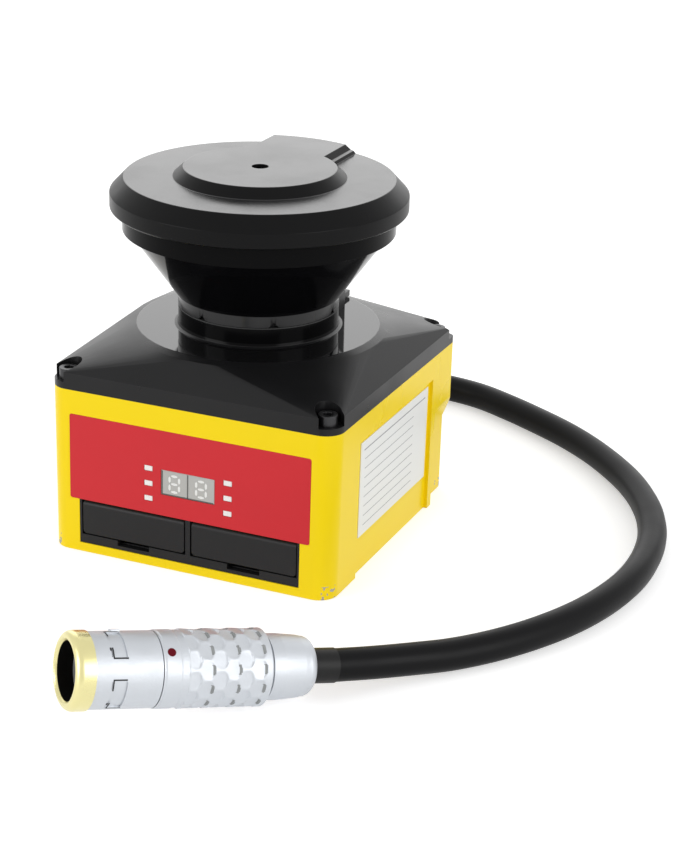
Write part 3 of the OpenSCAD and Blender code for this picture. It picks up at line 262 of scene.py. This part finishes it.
VECTOR, FLOAT = "NodeSocketVector", "NodeSocketFloat"
grain, g_in, g_out = new_group(
    "fine_grain",
    [("Vector", VECTOR, None), ("Scale", FLOAT, 900.0), ("Depth", FLOAT, 0.2)],
    [("Normal", VECTOR)],
)
fine = grain.nodes.new("ShaderNodeTexNoise")
fine.inputs["Detail"].default_value = 4
bump = grain.nodes.new("ShaderNodeBump")
bump.inputs["Distance"].default_value = 0.0001
grain.links.new(g_in.outputs["Vector"], fine.inputs["Vector"])
grain.links.new(g_in.outputs["Scale"], fine.inputs["Scale"])
grain.links.new(g_in.outputs["Depth"], bump.inputs["Strength"])
grain.links.new(fine.outputs["Fac"], bump.inputs["Height"])
grain.links.new(bump.outputs["Normal"], g_out.inputs["Normal"])
print("group", grain.name)

# %% Group for cloudy change
clouds, c_in, c_out = new_group(
    "cloudy_change",
    [("Vector", VECTOR, None), ("Scale", FLOAT, 60.0), ("Low", FLOAT, 0.3), ("High", FLOAT, 0.45)],
    [("Value", FLOAT), ("Mask", FLOAT)],
)
cloud = clouds.nodes.new("ShaderNodeTexNoise")
cloud.inputs["Detail"].default_value = 3
spread = clouds.nodes.new("ShaderNodeMapRange")
spread.inputs["From Min"].default_value = 0.3
spread.inputs["From Max"].default_value = 0.7
clouds.links.new(c_in.outputs["Vector"], cloud.inputs["Vector"])
clouds.links.new(c_in.outputs["Scale"], cloud.inputs["Scale"])
clouds.links.new(cloud.outputs["Fac"], spread.inputs["Value"])
clouds.links.new(c_in.outputs["Low"], spread.inputs["To Min"])
clouds.links.new(c_in.outputs["High"], spread.inputs["To Max"])
clouds.links.new(spread.outputs["Result"], c_out.inputs["Value"])
clouds.links.new(cloud.outputs["Fac"], c_out.inputs["Mask"])
print("group", clouds.name)

# %% A finish with both groups
def finish(name, colour, rough, metal=0.0, grain_scale=900.0, grain_depth=0.15, cloud_scale=60.0,
           tone=0.06, specular=0.5):
    """A finish: colour that drifts a little, roughness between two values, and a fine grain."""
    material = bpy.data.materials.new(name)
    material.use_nodes = True
    tree = material.node_tree
    bsdf = tree.nodes["Principled BSDF"]
    bsdf.inputs["Metallic"].default_value = metal
    bsdf.inputs["Specular IOR Level"].default_value = specular
    place = tree.nodes.new("ShaderNodeTexCoord")
    texture = tree.nodes.new("ShaderNodeGroup")
    texture.node_tree = grain
    texture.name = "grain"
    texture.inputs["Scale"].default_value = grain_scale
    texture.inputs["Depth"].default_value = grain_depth
    drift = tree.nodes.new("ShaderNodeGroup")
    drift.node_tree = clouds
    drift.name = "drift"
    drift.inputs["Scale"].default_value = cloud_scale
    drift.inputs["Low"].default_value, drift.inputs["High"].default_value = rough
    tint = tree.nodes.new("ShaderNodeMix")
    tint.data_type = "RGBA"
    tint.name = "tint"
    tint.inputs["A"].default_value = (*[c * (1 - tone) for c in colour], 1)
    tint.inputs["B"].default_value = (*[min(1, c * (1 + tone)) for c in colour], 1)
    link = tree.links.new
    link(place.outputs["Object"], texture.inputs["Vector"])
    link(place.outputs["Object"], drift.inputs["Vector"])
    link(drift.outputs["Mask"], tint.inputs["Factor"])
    link(tint.outputs["Result"], bsdf.inputs["Base Color"])
    link(drift.outputs["Value"], bsdf.inputs["Roughness"])
    link(texture.outputs["Normal"], bsdf.inputs["Normal"])
    return material


print("finish() is ready")

# %% [markdown]
# ## Plain finishes
# Most pieces take a plain finish in the colour of their slot, so one list of finishes dresses
# all of them. The numbers are linear colours, so they look darker here than they do on the
# object. A low specular level makes the deep black of a fine-grained moulding.

# %% Plain finishes by slot
plain = {
    "white_label": finish("label_film", (0.82, 0.83, 0.82), (0.35, 0.45), tone=0.02),
    "black_cover": finish("cover_black", (0.007, 0.007, 0.0075), (0.26, 0.36), grain_scale=1400,
                          grain_depth=0.08, specular=0.24),
    "black_rubber": finish("seal_rubber", (0.012, 0.012, 0.012), (0.5, 0.62)),
    "screw_steel": finish("screw_steel", (0.05, 0.05, 0.052), (0.28, 0.4), metal=0.9),
    "red_panel": finish("panel_red", (0.6, 0.022, 0.03), (0.34, 0.42), tone=0.04, specular=0.25),
    "display_grey": finish("display_grey", (0.46, 0.46, 0.44), (0.18, 0.24), tone=0.03,
                           specular=0.3),
    "display_body": finish("display_body", (0.6, 0.61, 0.57), (0.4, 0.5)),
    "light_white": finish("light_white", (0.85, 0.85, 0.83), (0.3, 0.4), tone=0.02),
    "board_green": finish("board_green", (0.01, 0.09, 0.03), (0.3, 0.4)),
    "port_black": finish("port_black", (0.011, 0.011, 0.0115), (0.34, 0.44), grain_depth=0.2,
                         specular=0.22),
    "bright_steel": finish("bright_steel", (0.55, 0.56, 0.58), (0.2, 0.3), metal=1.0),
    "button_red": finish("button_red", (0.5, 0.02, 0.03), (0.3, 0.4)),
    "cast_alloy": finish("cast_alloy", (0.45, 0.46, 0.47), (0.35, 0.5), metal=0.9,
                         grain_depth=0.4),
    "copper": finish("winding_copper", (0.6, 0.26, 0.12), (0.3, 0.4), metal=0.8),
    "magnet": finish("magnet_grey", (0.08, 0.08, 0.085), (0.4, 0.5), metal=0.6),
    "holder_black": finish("holder_black", (0.02, 0.02, 0.022), (0.5, 0.6)),
    "encoder_white": finish("encoder_white", (0.7, 0.71, 0.71), (0.2, 0.3)),
    "mirror": finish("mirror_face", (0.9, 0.9, 0.91), (0.02, 0.04), metal=1.0, grain_depth=0.0),
    "wire_blue": finish("wire_blue", (0.03, 0.07, 0.3), (0.4, 0.5)),
    "wire_red": finish("wire_red", (0.4, 0.02, 0.02), (0.4, 0.5)),
    "window_black": finish("window_black", (0.0025, 0.0025, 0.003), (0.07, 0.12),
                           grain_depth=0.02, specular=0.12),
    "gland_grey": finish("gland_grey", (0.014, 0.014, 0.015), (0.35, 0.45)),
    "cable_black": finish("cable_black", (0.006, 0.006, 0.0065), (0.36, 0.46), grain_scale=1600,
                          specular=0.1),
    "collar_grey": finish("collar_grey", (0.016, 0.016, 0.016), (0.35, 0.45), specular=0.15),
    "dot_red": finish("dot_red", (0.13, 0.003, 0.01), (0.3, 0.4), tone=0.02, specular=0.1),
    "insert_black": finish("insert_black", (0.008, 0.007, 0.006), (0.4, 0.5)),
}
print(len(plain), "plain finishes")

# %% [markdown]
# ## The paint and its chips
# The housing is die-cast metal under semi-gloss yellow paint. Where the base's corners have
# knocked against things, a few chips show bare metal. They could be cut into the mesh, but
# they are as thin as the paint, so a mask does: a noise that is let through only close to the
# base and near an upright corner. The mask changes the paint's colour and makes it metallic.

# %% Yellow paint
yellow = finish("yellow_paint", (0.93, 0.69, 0.004), (0.26, 0.34), grain_scale=420,
                grain_depth=0.1, cloud_scale=35, tone=0.02, specular=0.2)
plain["yellow_paint"] = yellow
print("paint:", yellow.name)

# %% Group for chipped corners
chips, k_in, k_out = new_group(
    "corner_chips",
    [("Vector", VECTOR, None), ("Half Width", FLOAT, 0.038), ("Height", FLOAT, 0.004),
     ("Scale", FLOAT, 700.0)],
    [("Mask", FLOAT)],
)
flake_level = 0.56


def chip_maths(operation, *terms):
    """One maths node of the chips group; each of its terms is a number or a socket."""
    step = chips.nodes.new("ShaderNodeMath")
    step.operation = operation
    for socket, term in zip(step.inputs, terms):
        if isinstance(term, (int, float)):
            socket.default_value = term
        else:
            chips.links.new(term, socket)
    return step.outputs[0]


apart = chips.nodes.new("ShaderNodeSeparateXYZ")
chips.links.new(k_in.outputs["Vector"], apart.inputs[0])
flakes = chips.nodes.new("ShaderNodeTexNoise")
flakes.inputs["Detail"].default_value = 2
chips.links.new(k_in.outputs["Vector"], flakes.inputs["Vector"])
chips.links.new(k_in.outputs["Scale"], flakes.inputs["Scale"])
corner = chip_maths("LESS_THAN", apart.outputs["Z"], k_in.outputs["Height"])
for axis in "XY":
    distance = chip_maths("ABSOLUTE", apart.outputs[axis])
    far_out = chip_maths("GREATER_THAN", distance, k_in.outputs["Half Width"])
    corner = chip_maths("MULTIPLY", corner, far_out)
flake = chip_maths("GREATER_THAN", flakes.outputs["Fac"], flake_level)
chips.links.new(chip_maths("MULTIPLY", corner, flake), k_out.inputs["Mask"])
print("group", chips.name)

# %% Chips in the paint
tree = yellow.node_tree
bsdf = tree.nodes["Principled BSDF"]
place = next(n for n in tree.nodes if n.type == "TEX_COORD")
chip = tree.nodes.new("ShaderNodeGroup")
chip.node_tree = chips
chip.inputs["Half Width"].default_value = 36.2 * MM
chip.inputs["Height"].default_value = 3.5 * MM
tree.links.new(place.outputs["Object"], chip.inputs["Vector"])
bared = tree.nodes.new("ShaderNodeMix")
bared.data_type = "RGBA"
bared.inputs["B"].default_value = (0.32, 0.31, 0.29, 1)
tree.links.new(chip.outputs["Mask"], bared.inputs["Factor"])
tree.links.new(tree.nodes["tint"].outputs["Result"], bared.inputs["A"])
tree.links.new(bared.outputs["Result"], bsdf.inputs["Base Color"])
tree.links.new(chip.outputs["Mask"], bsdf.inputs["Metallic"])
print("chips at the base's corners")

# %% [markdown]
# ## Plug metal, gold and glass
# The plug is satin plated metal with a fine blasted grain, and its front ring is gold plated.
# A fully metallic surface would mirror the yellow housing, so the plating is given a part of
# plain pale colour too. The lens is clear glass, made with transmission.

# %% Plug metal, gold and glass
plain["plug_silver"] = finish("plug_silver", (0.58, 0.605, 0.64), (0.44, 0.56), metal=0.65,
                              grain_scale=1500, grain_depth=0.35, cloud_scale=300, tone=0.05)
plain["gold"] = finish("gold_plate", (0.74, 0.68, 0.34), (0.24, 0.34), metal=0.8,
                       grain_scale=1500, grain_depth=0.15, cloud_scale=120)
plain["lens_glass"] = finish("lens_glass", (0.9, 0.95, 0.97), (0.02, 0.05), grain_depth=0.0)
glass = plain["lens_glass"].node_tree.nodes["Principled BSDF"]
glass.inputs["Transmission Weight"].default_value = 0.9
print(len(plain), "finishes in all")

# %% Dress the solids
for node, piece in nodes.items():
    piece.data.materials.clear()
    piece.data.materials.append(plain[slot_of[node]])
cable.data.materials.append(plain["cable_black"])
print("finishes on", len(nodes), "solids")

# %% [markdown]
# ## Rounded edges
# Cast and moulded pieces have no knife edges: each edge has a small radius that catches the
# light. The solid itself stays as it is: a copy of it is merged, its flat faces are joined
# again, and a bevel modifier rounds its sharp edges. Weighted normals then keep the big flat
# faces flat and let only the narrow rounded strips look curved. The cover's slopes meet in
# soft ridges, so its blunt edges get a wider radius than its sharp ones, by bevel weights.

# %% A softened copy
def pick(piece):
    clear(action="DESELECT")
    piece.select_set(True)
    bpy.context.view_layer.objects.active = piece


def finished(piece, node):
    """The piece takes the node's place, body, slot and finish."""
    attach(piece, body_of[node])
    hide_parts(node)
    if not piece.data.materials:
        piece.data.materials.append(plain[slot_of[node]])
    return piece


merge_distance, flat_angle, smooth_angle, ridge_angle = 0.002 * MM, 0.2, 50, 40


def softened(node, width, sharp=30, segments=2, ridge=0):
    """A rounded copy; edges that turn less than the ridge angle may get a wider radius."""
    mesh = nodes[node].data.copy()
    piece = bpy.data.objects.new(node + "_shell", mesh)
    bpy.context.scene.collection.objects.link(piece)
    pick(piece)
    bpy.ops.mesh.customdata_custom_splitnormals_clear()
    bpy.ops.object.mode_set(mode="EDIT")
    bpy.ops.mesh.select_all(action="SELECT")
    bpy.ops.mesh.remove_doubles(threshold=merge_distance)
    bpy.ops.mesh.dissolve_limited(angle_limit=math.radians(flat_angle))
    bpy.ops.object.mode_set(mode="OBJECT")
    rounding = piece.modifiers.new("rounding", "BEVEL")
    rounding.width = width * MM
    rounding.segments = segments
    rounding.limit_method = "ANGLE"
    rounding.angle_limit = math.radians(sharp)
    if ridge:
        shape = bmesh.new()
        shape.from_mesh(piece.data)
        weight = shape.edges.layers.float.new("bevel_weight_edge")
        for edge in shape.edges:
            turn = math.degrees(edge.calc_face_angle(0))
            edge[weight] = 0 if turn < sharp else 1 if turn < ridge_angle else width / ridge
        shape.to_mesh(piece.data)
        shape.free()
        rounding.limit_method = "WEIGHT"
        rounding.width = ridge * MM
    rounding.use_clamp_overlap = True
    bpy.ops.object.modifier_apply(modifier="rounding")
    bpy.ops.object.shade_smooth_by_angle(angle=math.radians(smooth_angle))
    even = piece.modifiers.new("even_shading", "WEIGHTED_NORMAL")
    even.keep_sharp = True
    bpy.ops.object.modifier_apply(modifier="even_shading")
    return finished(piece, node)


print("softened() is ready")

# %% Rounded pieces
rounded = {
    "housing": 0.45, "top_cover": 0.35, "top_cap": 0.3, "optical_window": 0.15,
    "rear_column": 0.25, "port_frame": 0.12, "port_cover_left": 0.2, "port_cover_right": 0.2,
    "cover_screws": 0.12, "plug_shell": 0.05, "plug_ring": 0.15, "cable_gland": 0.2,
    "cable_boot": 0.2, "front_panel": 0.1, "side_label": 0.05, "display_window": 0.15,
    "status_lights": 0.15,
}
cover_edges = {"sharp": 10, "segments": 4, "ridge": 1.6}
shells = {}
for node, width in rounded.items():
    shells[node] = softened(node, width, **(cover_edges if node == "top_cover" else {}))
    print(node, len(shells[node].data.polygons), "faces")

# %% [markdown]
# ## Polished places, painted light and painted shade
# The round plateau under the neck is mirror bright. The cap is one plastic all over, but its top
# is given a paler, more reflective black than the rest. Its rim and skirt get darker, less
# reflective blacks, as do the cover's upright faces above the plateau: painted light on the
# cap's top and painted shade on the sides. The window is deep black. One piece can carry several
# finishes: each face is given one by its height and by the way that it faces, so no piece has
# to be cut apart for its finish.

# %% A finish for some faces
def face_finish(piece, material, chosen):
    """Gives the finish to every face whose centre (in mm) and normal are chosen."""
    piece.data.materials.append(material)
    index = len(piece.data.materials) - 1
    picked = [f for f in piece.data.polygons if chosen(f.center / MM, f.normal)]
    for face in picked:
        face.material_index = index
    print(piece.name, material.name, len(picked), "faces")


print("face_finish() is ready")

# %% Five blacks
polished = finish("cover_polished", (0.006, 0.006, 0.0065), (0.05, 0.09), grain_depth=0.01)
# The next three blacks are one plastic: the paler, more reflective top black is painted light, and
# the darker, less reflective side blacks are painted shade.
gloss_painted_shade = finish("gloss_painted_shade", (0.002, 0.002, 0.0022), (0.1, 0.16), grain_depth=0.02,
                    specular=0.05)
rim_satin_painted_shade = finish("rim_satin_painted_shade", (0.005, 0.005, 0.0052), (0.26, 0.36), grain_depth=0.05,
                    specular=0.09)
cap_satin_painted_light = finish("cap_satin_painted_light", (0.008, 0.008, 0.0085), (0.16, 0.26), grain_scale=1400,
                   grain_depth=0.04)
foot_gloss = finish("foot_gloss", (0.012, 0.012, 0.0125), (0.12, 0.2), grain_depth=0.02,
                    specular=0.3)
print("five blacks besides the cover's own")

# %% Places on the cover, the cap and the window
window_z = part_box("optical_window")[0].z / MM
cap_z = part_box("top_cap")[0].z / MM
plateau_z, foot_top, rim_z = window_z - 4.6, window_z + 3.05, cap_z + 5.3
face_finish(shells["top_cover"], polished,
            lambda c, n: n.z > 0.97 and abs(c.z - plateau_z) < 0.6)
# The cover's upright faces above the plateau get the darkest black: painted shade.
face_finish(shells["top_cover"], gloss_painted_shade, lambda c, n: c.z > plateau_z - 0.1 and n.z < 0.9)
# The cap's top gets a paler, more reflective black (painted light) and its rim and skirt get
# darker ones (painted shade).
face_finish(shells["top_cap"], cap_satin_painted_light, lambda c, n: n.z > 0.8)
face_finish(shells["top_cap"], rim_satin_painted_shade, lambda c, n: c.z > rim_z and n.z <= 0.8)
face_finish(shells["top_cap"], gloss_painted_shade, lambda c, n: c.z <= rim_z)
face_finish(shells["optical_window"], foot_gloss, lambda c, n: c.z < foot_top)

# %% [markdown]
# ## The plug's grip
# The grip sleeve has rows of scooped flats, like fish scales: each lens-shaped flat starts
# level with the sleeve, slopes in towards the cable and ends in a small curved step. Cutting
# dozens of flats one by one would be slow. Instead the sleeve's outline is spun round its axis
# with many rings, and each point of the outside is moved in by the depth of the scoop there.
# The plug lies tilted on the table, so it is made upright at the origin and then placed.

# %% Frame of the plug
plug_length, plug_heading, plug_pitch = 57.2, 47.5, 9.6
plug_end = Vector((53.1, -84.8, 7.4)) * MM
plug_frame = (
    Matrix.Translation(plug_end)
    @ Matrix.Rotation(math.radians(plug_heading), 4, "Z")
    @ Matrix.Rotation(math.radians(plug_pitch), 4, "Y")
    @ Matrix.Translation((-plug_length * MM, 0, 0))
    @ Matrix.Rotation(math.radians(90), 4, "Y")
)
print("plug mouth at", in_mm([plug_frame.translation]))

# %% Turned outlines
def turned(name, outline, steps):
    """Spins an outline of (radius, height) points in mm round the plug's axis."""
    mesh = bpy.data.meshes.new(name)
    piece = bpy.data.objects.new(name, mesh)
    bpy.context.scene.collection.objects.link(piece)
    shape = bmesh.new()
    ring = [shape.verts.new((r * MM, 0, h * MM)) for r, h in outline]
    for a, b in zip(ring, ring[1:] + ring[:1]):
        shape.edges.new((a, b))
    shape.to_mesh(mesh)
    shape.free()
    pick(piece)
    bpy.ops.object.mode_set(mode="EDIT")
    bpy.ops.mesh.select_all(action="SELECT")
    bpy.ops.mesh.spin(steps=steps, angle=math.radians(360), center=(0, 0, 0), axis=(0, 0, 1))
    bpy.ops.mesh.select_all(action="SELECT")
    bpy.ops.mesh.remove_doubles(threshold=merge_distance)
    bpy.ops.mesh.normals_make_consistent(inside=False)
    bpy.ops.object.mode_set(mode="OBJECT")
    return piece


grip_start, grip_end, grip_r, end_chamfer = 19.6, 45, 8.8, 0.3
core_bore_r, nut_bore_r, nut_bore_start = 7.06, 7.75, 40.4
ring_pitch = 0.2
ring_count = int((grip_end - grip_start) / ring_pitch) + 1
heights = [grip_start + ring_pitch * i for i in range(ring_count)]
outside = [(grip_r, h) for h in heights if h < grip_end] + [(grip_r - end_chamfer, grip_end)]
inside = [(nut_bore_r, grip_end), (nut_bore_r, nut_bore_start), (core_bore_r, nut_bore_start),
          (core_bore_r, grip_start)]
grip = turned("grip_scales", outside + inside, steps=240)
print("grip", len(grip.data.polygons), "faces")

# %% Places of the scoops
scoops_around, scoop_facing, scoop_half = 12, 248, 14.8
scoop_first, scoop_pitch, scoop_length = 31.1, 6.1, 5.6
scoop_cut, step_run, land_cut, rear_bow = 0.52, 0.35, 0.1, 0.9
collar_start, collar_end, scoops_start = 20, 23.8, 25.4
collar_cut, groove_cut = 0.22, 0.34


def across_scoop(angle, half):
    """From -1 to 1 across the nearest scoop; half is 1 in the rows turned by half a pitch."""
    pitch = 360 / scoops_around
    return ((angle - scoop_facing - half * pitch / 2 + pitch / 2) % pitch - pitch / 2) / scoop_half


def scoop_rear(row, half, across):
    """The distance from the mouth at which a scoop ends in its step."""
    return scoop_first + scoop_pitch * (row - half / 2) - rear_bow * across ** 2


print(scoops_around, "scoops around")

# %% Scoops of the grip
def scoop_depth(angle, height):
    """How far the sleeve is cut in at an angle in degrees and a height in mm."""
    if height < scoops_start:
        return collar_cut if collar_start < height < collar_end else groove_cut
    depth = land_cut
    for half in (0, 1):
        across = across_scoop(angle, half)
        if abs(across) >= 1:
            continue
        bow = 1 - across ** 2
        for row in range(-1, 4):
            rear = scoop_rear(row, half, across)
            front = rear - scoop_length * bow ** 0.5
            deepest = scoop_cut * bow ** 0.6
            if rear > grip_end - rear_bow:
                continue
            if front < height <= rear:
                depth = max(depth, deepest * (height - front) / (rear - front))
            elif rear < height < rear + step_run:
                depth = max(depth, deepest * (1 - (height - rear) / step_run))
    return depth


for vertex in grip.data.vertices:
    r = math.hypot(vertex.co.x, vertex.co.y)
    h = vertex.co.z / MM
    if abs(r / MM - grip_r) < 0.01 and grip_start < h < grip_end - 0.01:
        cut = scoop_depth(math.degrees(math.atan2(vertex.co.y, vertex.co.x)), h)
        vertex.co.x *= 1 - cut * MM / r
        vertex.co.y *= 1 - cut * MM / r
grip.data.transform(plug_frame)
pick(grip)
bpy.ops.object.shade_smooth_by_angle(angle=math.radians(40))
finished(grip, "plug_grip")
print("scoops cut into", grip.name)

# %% Painted shade in the front ring's bore
into_plug = plug_frame.inverted()
# The gold ring's inner wall, from a little way in from the mouth, is painted near-black: painted
# shade in the bore.
bore_shade = finish("bore_shade", (0.004, 0.0035, 0.003), (0.35, 0.5), specular=0.1)
bore_start = 1.2


def ring_bore(c, n):
    """True on the ring's inner wall, a little way in from the mouth."""
    at, way = into_plug @ (c * MM), into_plug.to_3x3() @ n
    outward = way.dot(Vector((at.x, at.y, 0)).normalized())
    return outward < -0.5 and at.z / MM > bore_start


face_finish(shells["plug_ring"], bore_shade, ring_bore)

# %% Painted shade under the scoops' steps
# The grey on the steps is painted shade, put only on the middle of one set of scoops.
step_shade = finish("step_shade", (0.27, 0.28, 0.28), (0.5, 0.6), metal=0.6, tone=0.1)


def scoop_step(c, n):
    """True on the small step that ends a scoop, at its middle, in the first three rows: the faces
    that get painted shade.
    """
    at = into_plug @ (c * MM)
    across = across_scoop(math.degrees(math.atan2(at.y, at.x)), 0)
    past = [at.z / MM - scoop_rear(row, 0, across) for row in range(3)]
    return abs(across) < 0.5 and any(-0.2 < p < step_run for p in past)


face_finish(grip, step_shade, scoop_step)

# %% [markdown]
# ## Gaps round the latch tongues
# The shell's four latch tongues are parted from it by narrow L-shaped slots. The slots are not
# cut: each is shown by a dark film on the shell, painted shade where the gap would be. Each
# stroke of a slot is a plane that is subdivided, bent round the shell by moving its points, and
# given a little thickness.

# %% A mark on the round shell
# The dark film is painted shade standing in for the slots' gaps.
latch_shade = finish("latch_shade", (0.03, 0.03, 0.033), (0.5, 0.6), specular=0.2)
mark_r, mark_thick = 8.43, 0.04


def shell_mark(name, along, turns):
    """A dark film on the shell between two distances from the mouth and two turns."""
    clear(action="DESELECT")
    bpy.ops.mesh.primitive_plane_add(size=1)
    mark = bpy.context.active_object
    mark.name = name
    bpy.ops.object.mode_set(mode="EDIT")
    bpy.ops.mesh.subdivide(number_cuts=9)
    bpy.ops.object.mode_set(mode="OBJECT")
    for point in mark.data.vertices:
        turn = math.radians(turns[0] + (point.co.x + 0.5) * (turns[1] - turns[0]))
        height = along[0] + (point.co.y + 0.5) * (along[1] - along[0])
        bent = Vector((mark_r * math.cos(turn), mark_r * math.sin(turn), height))
        point.co = plug_frame @ (bent * MM)
    thick = mark.modifiers.new("thick", "SOLIDIFY")
    thick.thickness = mark_thick * MM
    bpy.ops.object.modifier_apply(modifier="thick")
    return mark


def joined(name, marks, material):
    """Makes one piece of many marks; it rides on the base."""
    clear(action="DESELECT")
    for mark in marks:
        mark.select_set(True)
    bpy.context.view_layer.objects.active = marks[0]
    bpy.ops.object.join()
    whole = bpy.context.active_object
    whole.name = name
    whole.data.materials.clear()
    whole.data.materials.append(material)
    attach(whole, "base")
    print(name, len(whole.data.polygons), "faces")
    return whole


print("shell_mark() and joined() are ready")

# %% Strokes of the four slots
first_slot_turn = 258
slot_strokes = (
    ("slot_end", (8.1, 8.4), (0, 18)), ("slot_side", (8.1, 11.3), (0, 2.2)),
    ("slot_foot", (7.7, 8.1), (42, 47)), ("key_end", (8.2, 8.5), (-48, -30)),
    ("key_side", (8.2, 11.6), (-32, -29.6)),
)
strokes = []
for quarter in range(4):
    start = first_slot_turn + 90 * quarter
    for name, along, turns in slot_strokes:
        strokes.append(shell_mark(name, along, (start + turns[0], start + turns[1])))
slots = joined("latch_slots", strokes, latch_shade)

# %% [markdown]
# ## The display's digits and the label's lines
# Two seven-segment digits sit side by side behind the grey glass. One segment is a flat
# bar with pointed ends, and its copies make the two figures, which read eight and eight when
# all segments show. The rating label on the side carries only the thin ruled lines of a form.
# Both lie on faces that lean a little, so each mark is placed in a frame that is measured from
# the solid's own outer face.

# %% The plane of a thin solid's outer face
def outer_frame(node, facing):
    """A frame on the node's outer face: X along it, Z up it, -Y straight out of it."""
    faces = [f for f in nodes[node].data.polygons if f.normal.dot(Vector(facing)) > 0.9]
    area = sum(f.area for f in faces)
    out = sum((f.normal * f.area for f in faces), Vector()).normalized()
    middle = sum((f.center * f.area for f in faces), Vector()) / area
    low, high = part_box(node)
    middle.z = (low.z + high.z) / 2
    along = Vector((0, 0, 1)).cross(out).normalized()
    turn = Matrix((along, -out, out.cross(along))).transposed().to_4x4()
    return Matrix.Translation(middle) @ turn


display_frame = outer_frame("display_window", (0, -1, 0))
label_frame = outer_frame("side_label", (1, 0, 0))
display_low, display_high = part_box("display_window")
label_low, label_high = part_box("side_label")
print("display middle at", in_mm([display_frame.translation]))

# %% Flat marks on a face
def flat_mark(name, on, x, z, width, height, pointed=False, proud=0.05):
    """A thin raised mark in mm on a face; a pointed one is a bar with six corners."""
    clear(action="DESELECT")
    bpy.ops.mesh.primitive_cylinder_add(vertices=6 if pointed else 4, radius=0.5, depth=1)
    mark = bpy.context.active_object
    mark.name = name
    mesh = mark.data
    mesh.transform(Matrix.Rotation(math.radians(0 if pointed else 45), 4, "Z"))
    mesh.transform(Matrix.Rotation(math.radians(90), 4, "X"))
    grow = 1.0 if pointed else math.sqrt(2)
    mesh.transform(Matrix.Diagonal((width * grow * MM, 2 * proud * MM, height * grow * MM, 1)))
    mesh.transform(on @ Matrix.Translation((x * MM, 0, z * MM)))
    return mark


print("flat_mark() is ready")

# %% Digits of the display
digit_light = finish("digit_light", (0.8, 0.81, 0.79), (0.3, 0.4), tone=0.02, specular=0.2)
# A dark grey for the display's own split line and for painted shade along its left edge and foot.
display_line_and_shade = finish("display_line_and_shade", (0.13, 0.13, 0.125), (0.3, 0.4), tone=0.02, specular=0.2)
display_w = (display_high.x - display_low.x) / MM
display_h = (display_high.z - display_low.z) / MM
digit_h, digit_w, stroke = 0.74 * display_h, 0.4 * display_h, 0.72
level, upright = (digit_w - stroke, stroke), (stroke, digit_h / 2 - stroke)
bars = []
for middle in (-display_w / 4, display_w / 4):
    places = [(0, step * (digit_h - stroke) / 2, level) for step in (-1, 0, 1)]
    places += [(side * digit_w / 2, step * (digit_h - stroke) / 4, upright)
               for side in (-1, 1) for step in (-1, 1)]
    for x, z, size in places:
        bars.append(flat_mark("digit_bar", display_frame, middle + x, z, *size, pointed=True))
joined("display_digits", bars, digit_light)

# %% Dark split line and painted shade on the display
# The split down the middle is the display's own dark line; the lines along its left edge and foot
# are painted shade of the inset glass.
joined("display_lines", [
    flat_mark("split", display_frame, 0, 0, 0.3, display_h - 0.3),
    flat_mark("left", display_frame, -display_w / 2 + 0.3, 0, 0.35, display_h - 0.3),
    flat_mark("foot", display_frame, 0, -display_h / 2 + 0.25, display_w - 0.6, 0.3),
], display_line_and_shade)

# %% Ruled lines of the label
label_ink = finish("label_ink", (0.3, 0.31, 0.32), (0.4, 0.5), tone=0.05, specular=0.2)
label_w = (label_high.y - label_low.y) / MM
label_h = (label_high.z - label_low.z) / MM
head_z, rule_count = label_h / 2 - 2.4, 8
rules = [flat_mark("rule", label_frame, 0, head_z, label_w - 4, 0.3, proud=0.02)]
for row in range(1, rule_count + 1):
    z = head_z - row * (label_h - 5) / rule_count
    rules.append(flat_mark("rule", label_frame, -0.08 * label_w, z, 0.72 * label_w, 0.16,
                           proud=0.02))
joined("label_rules", rules, label_ink)
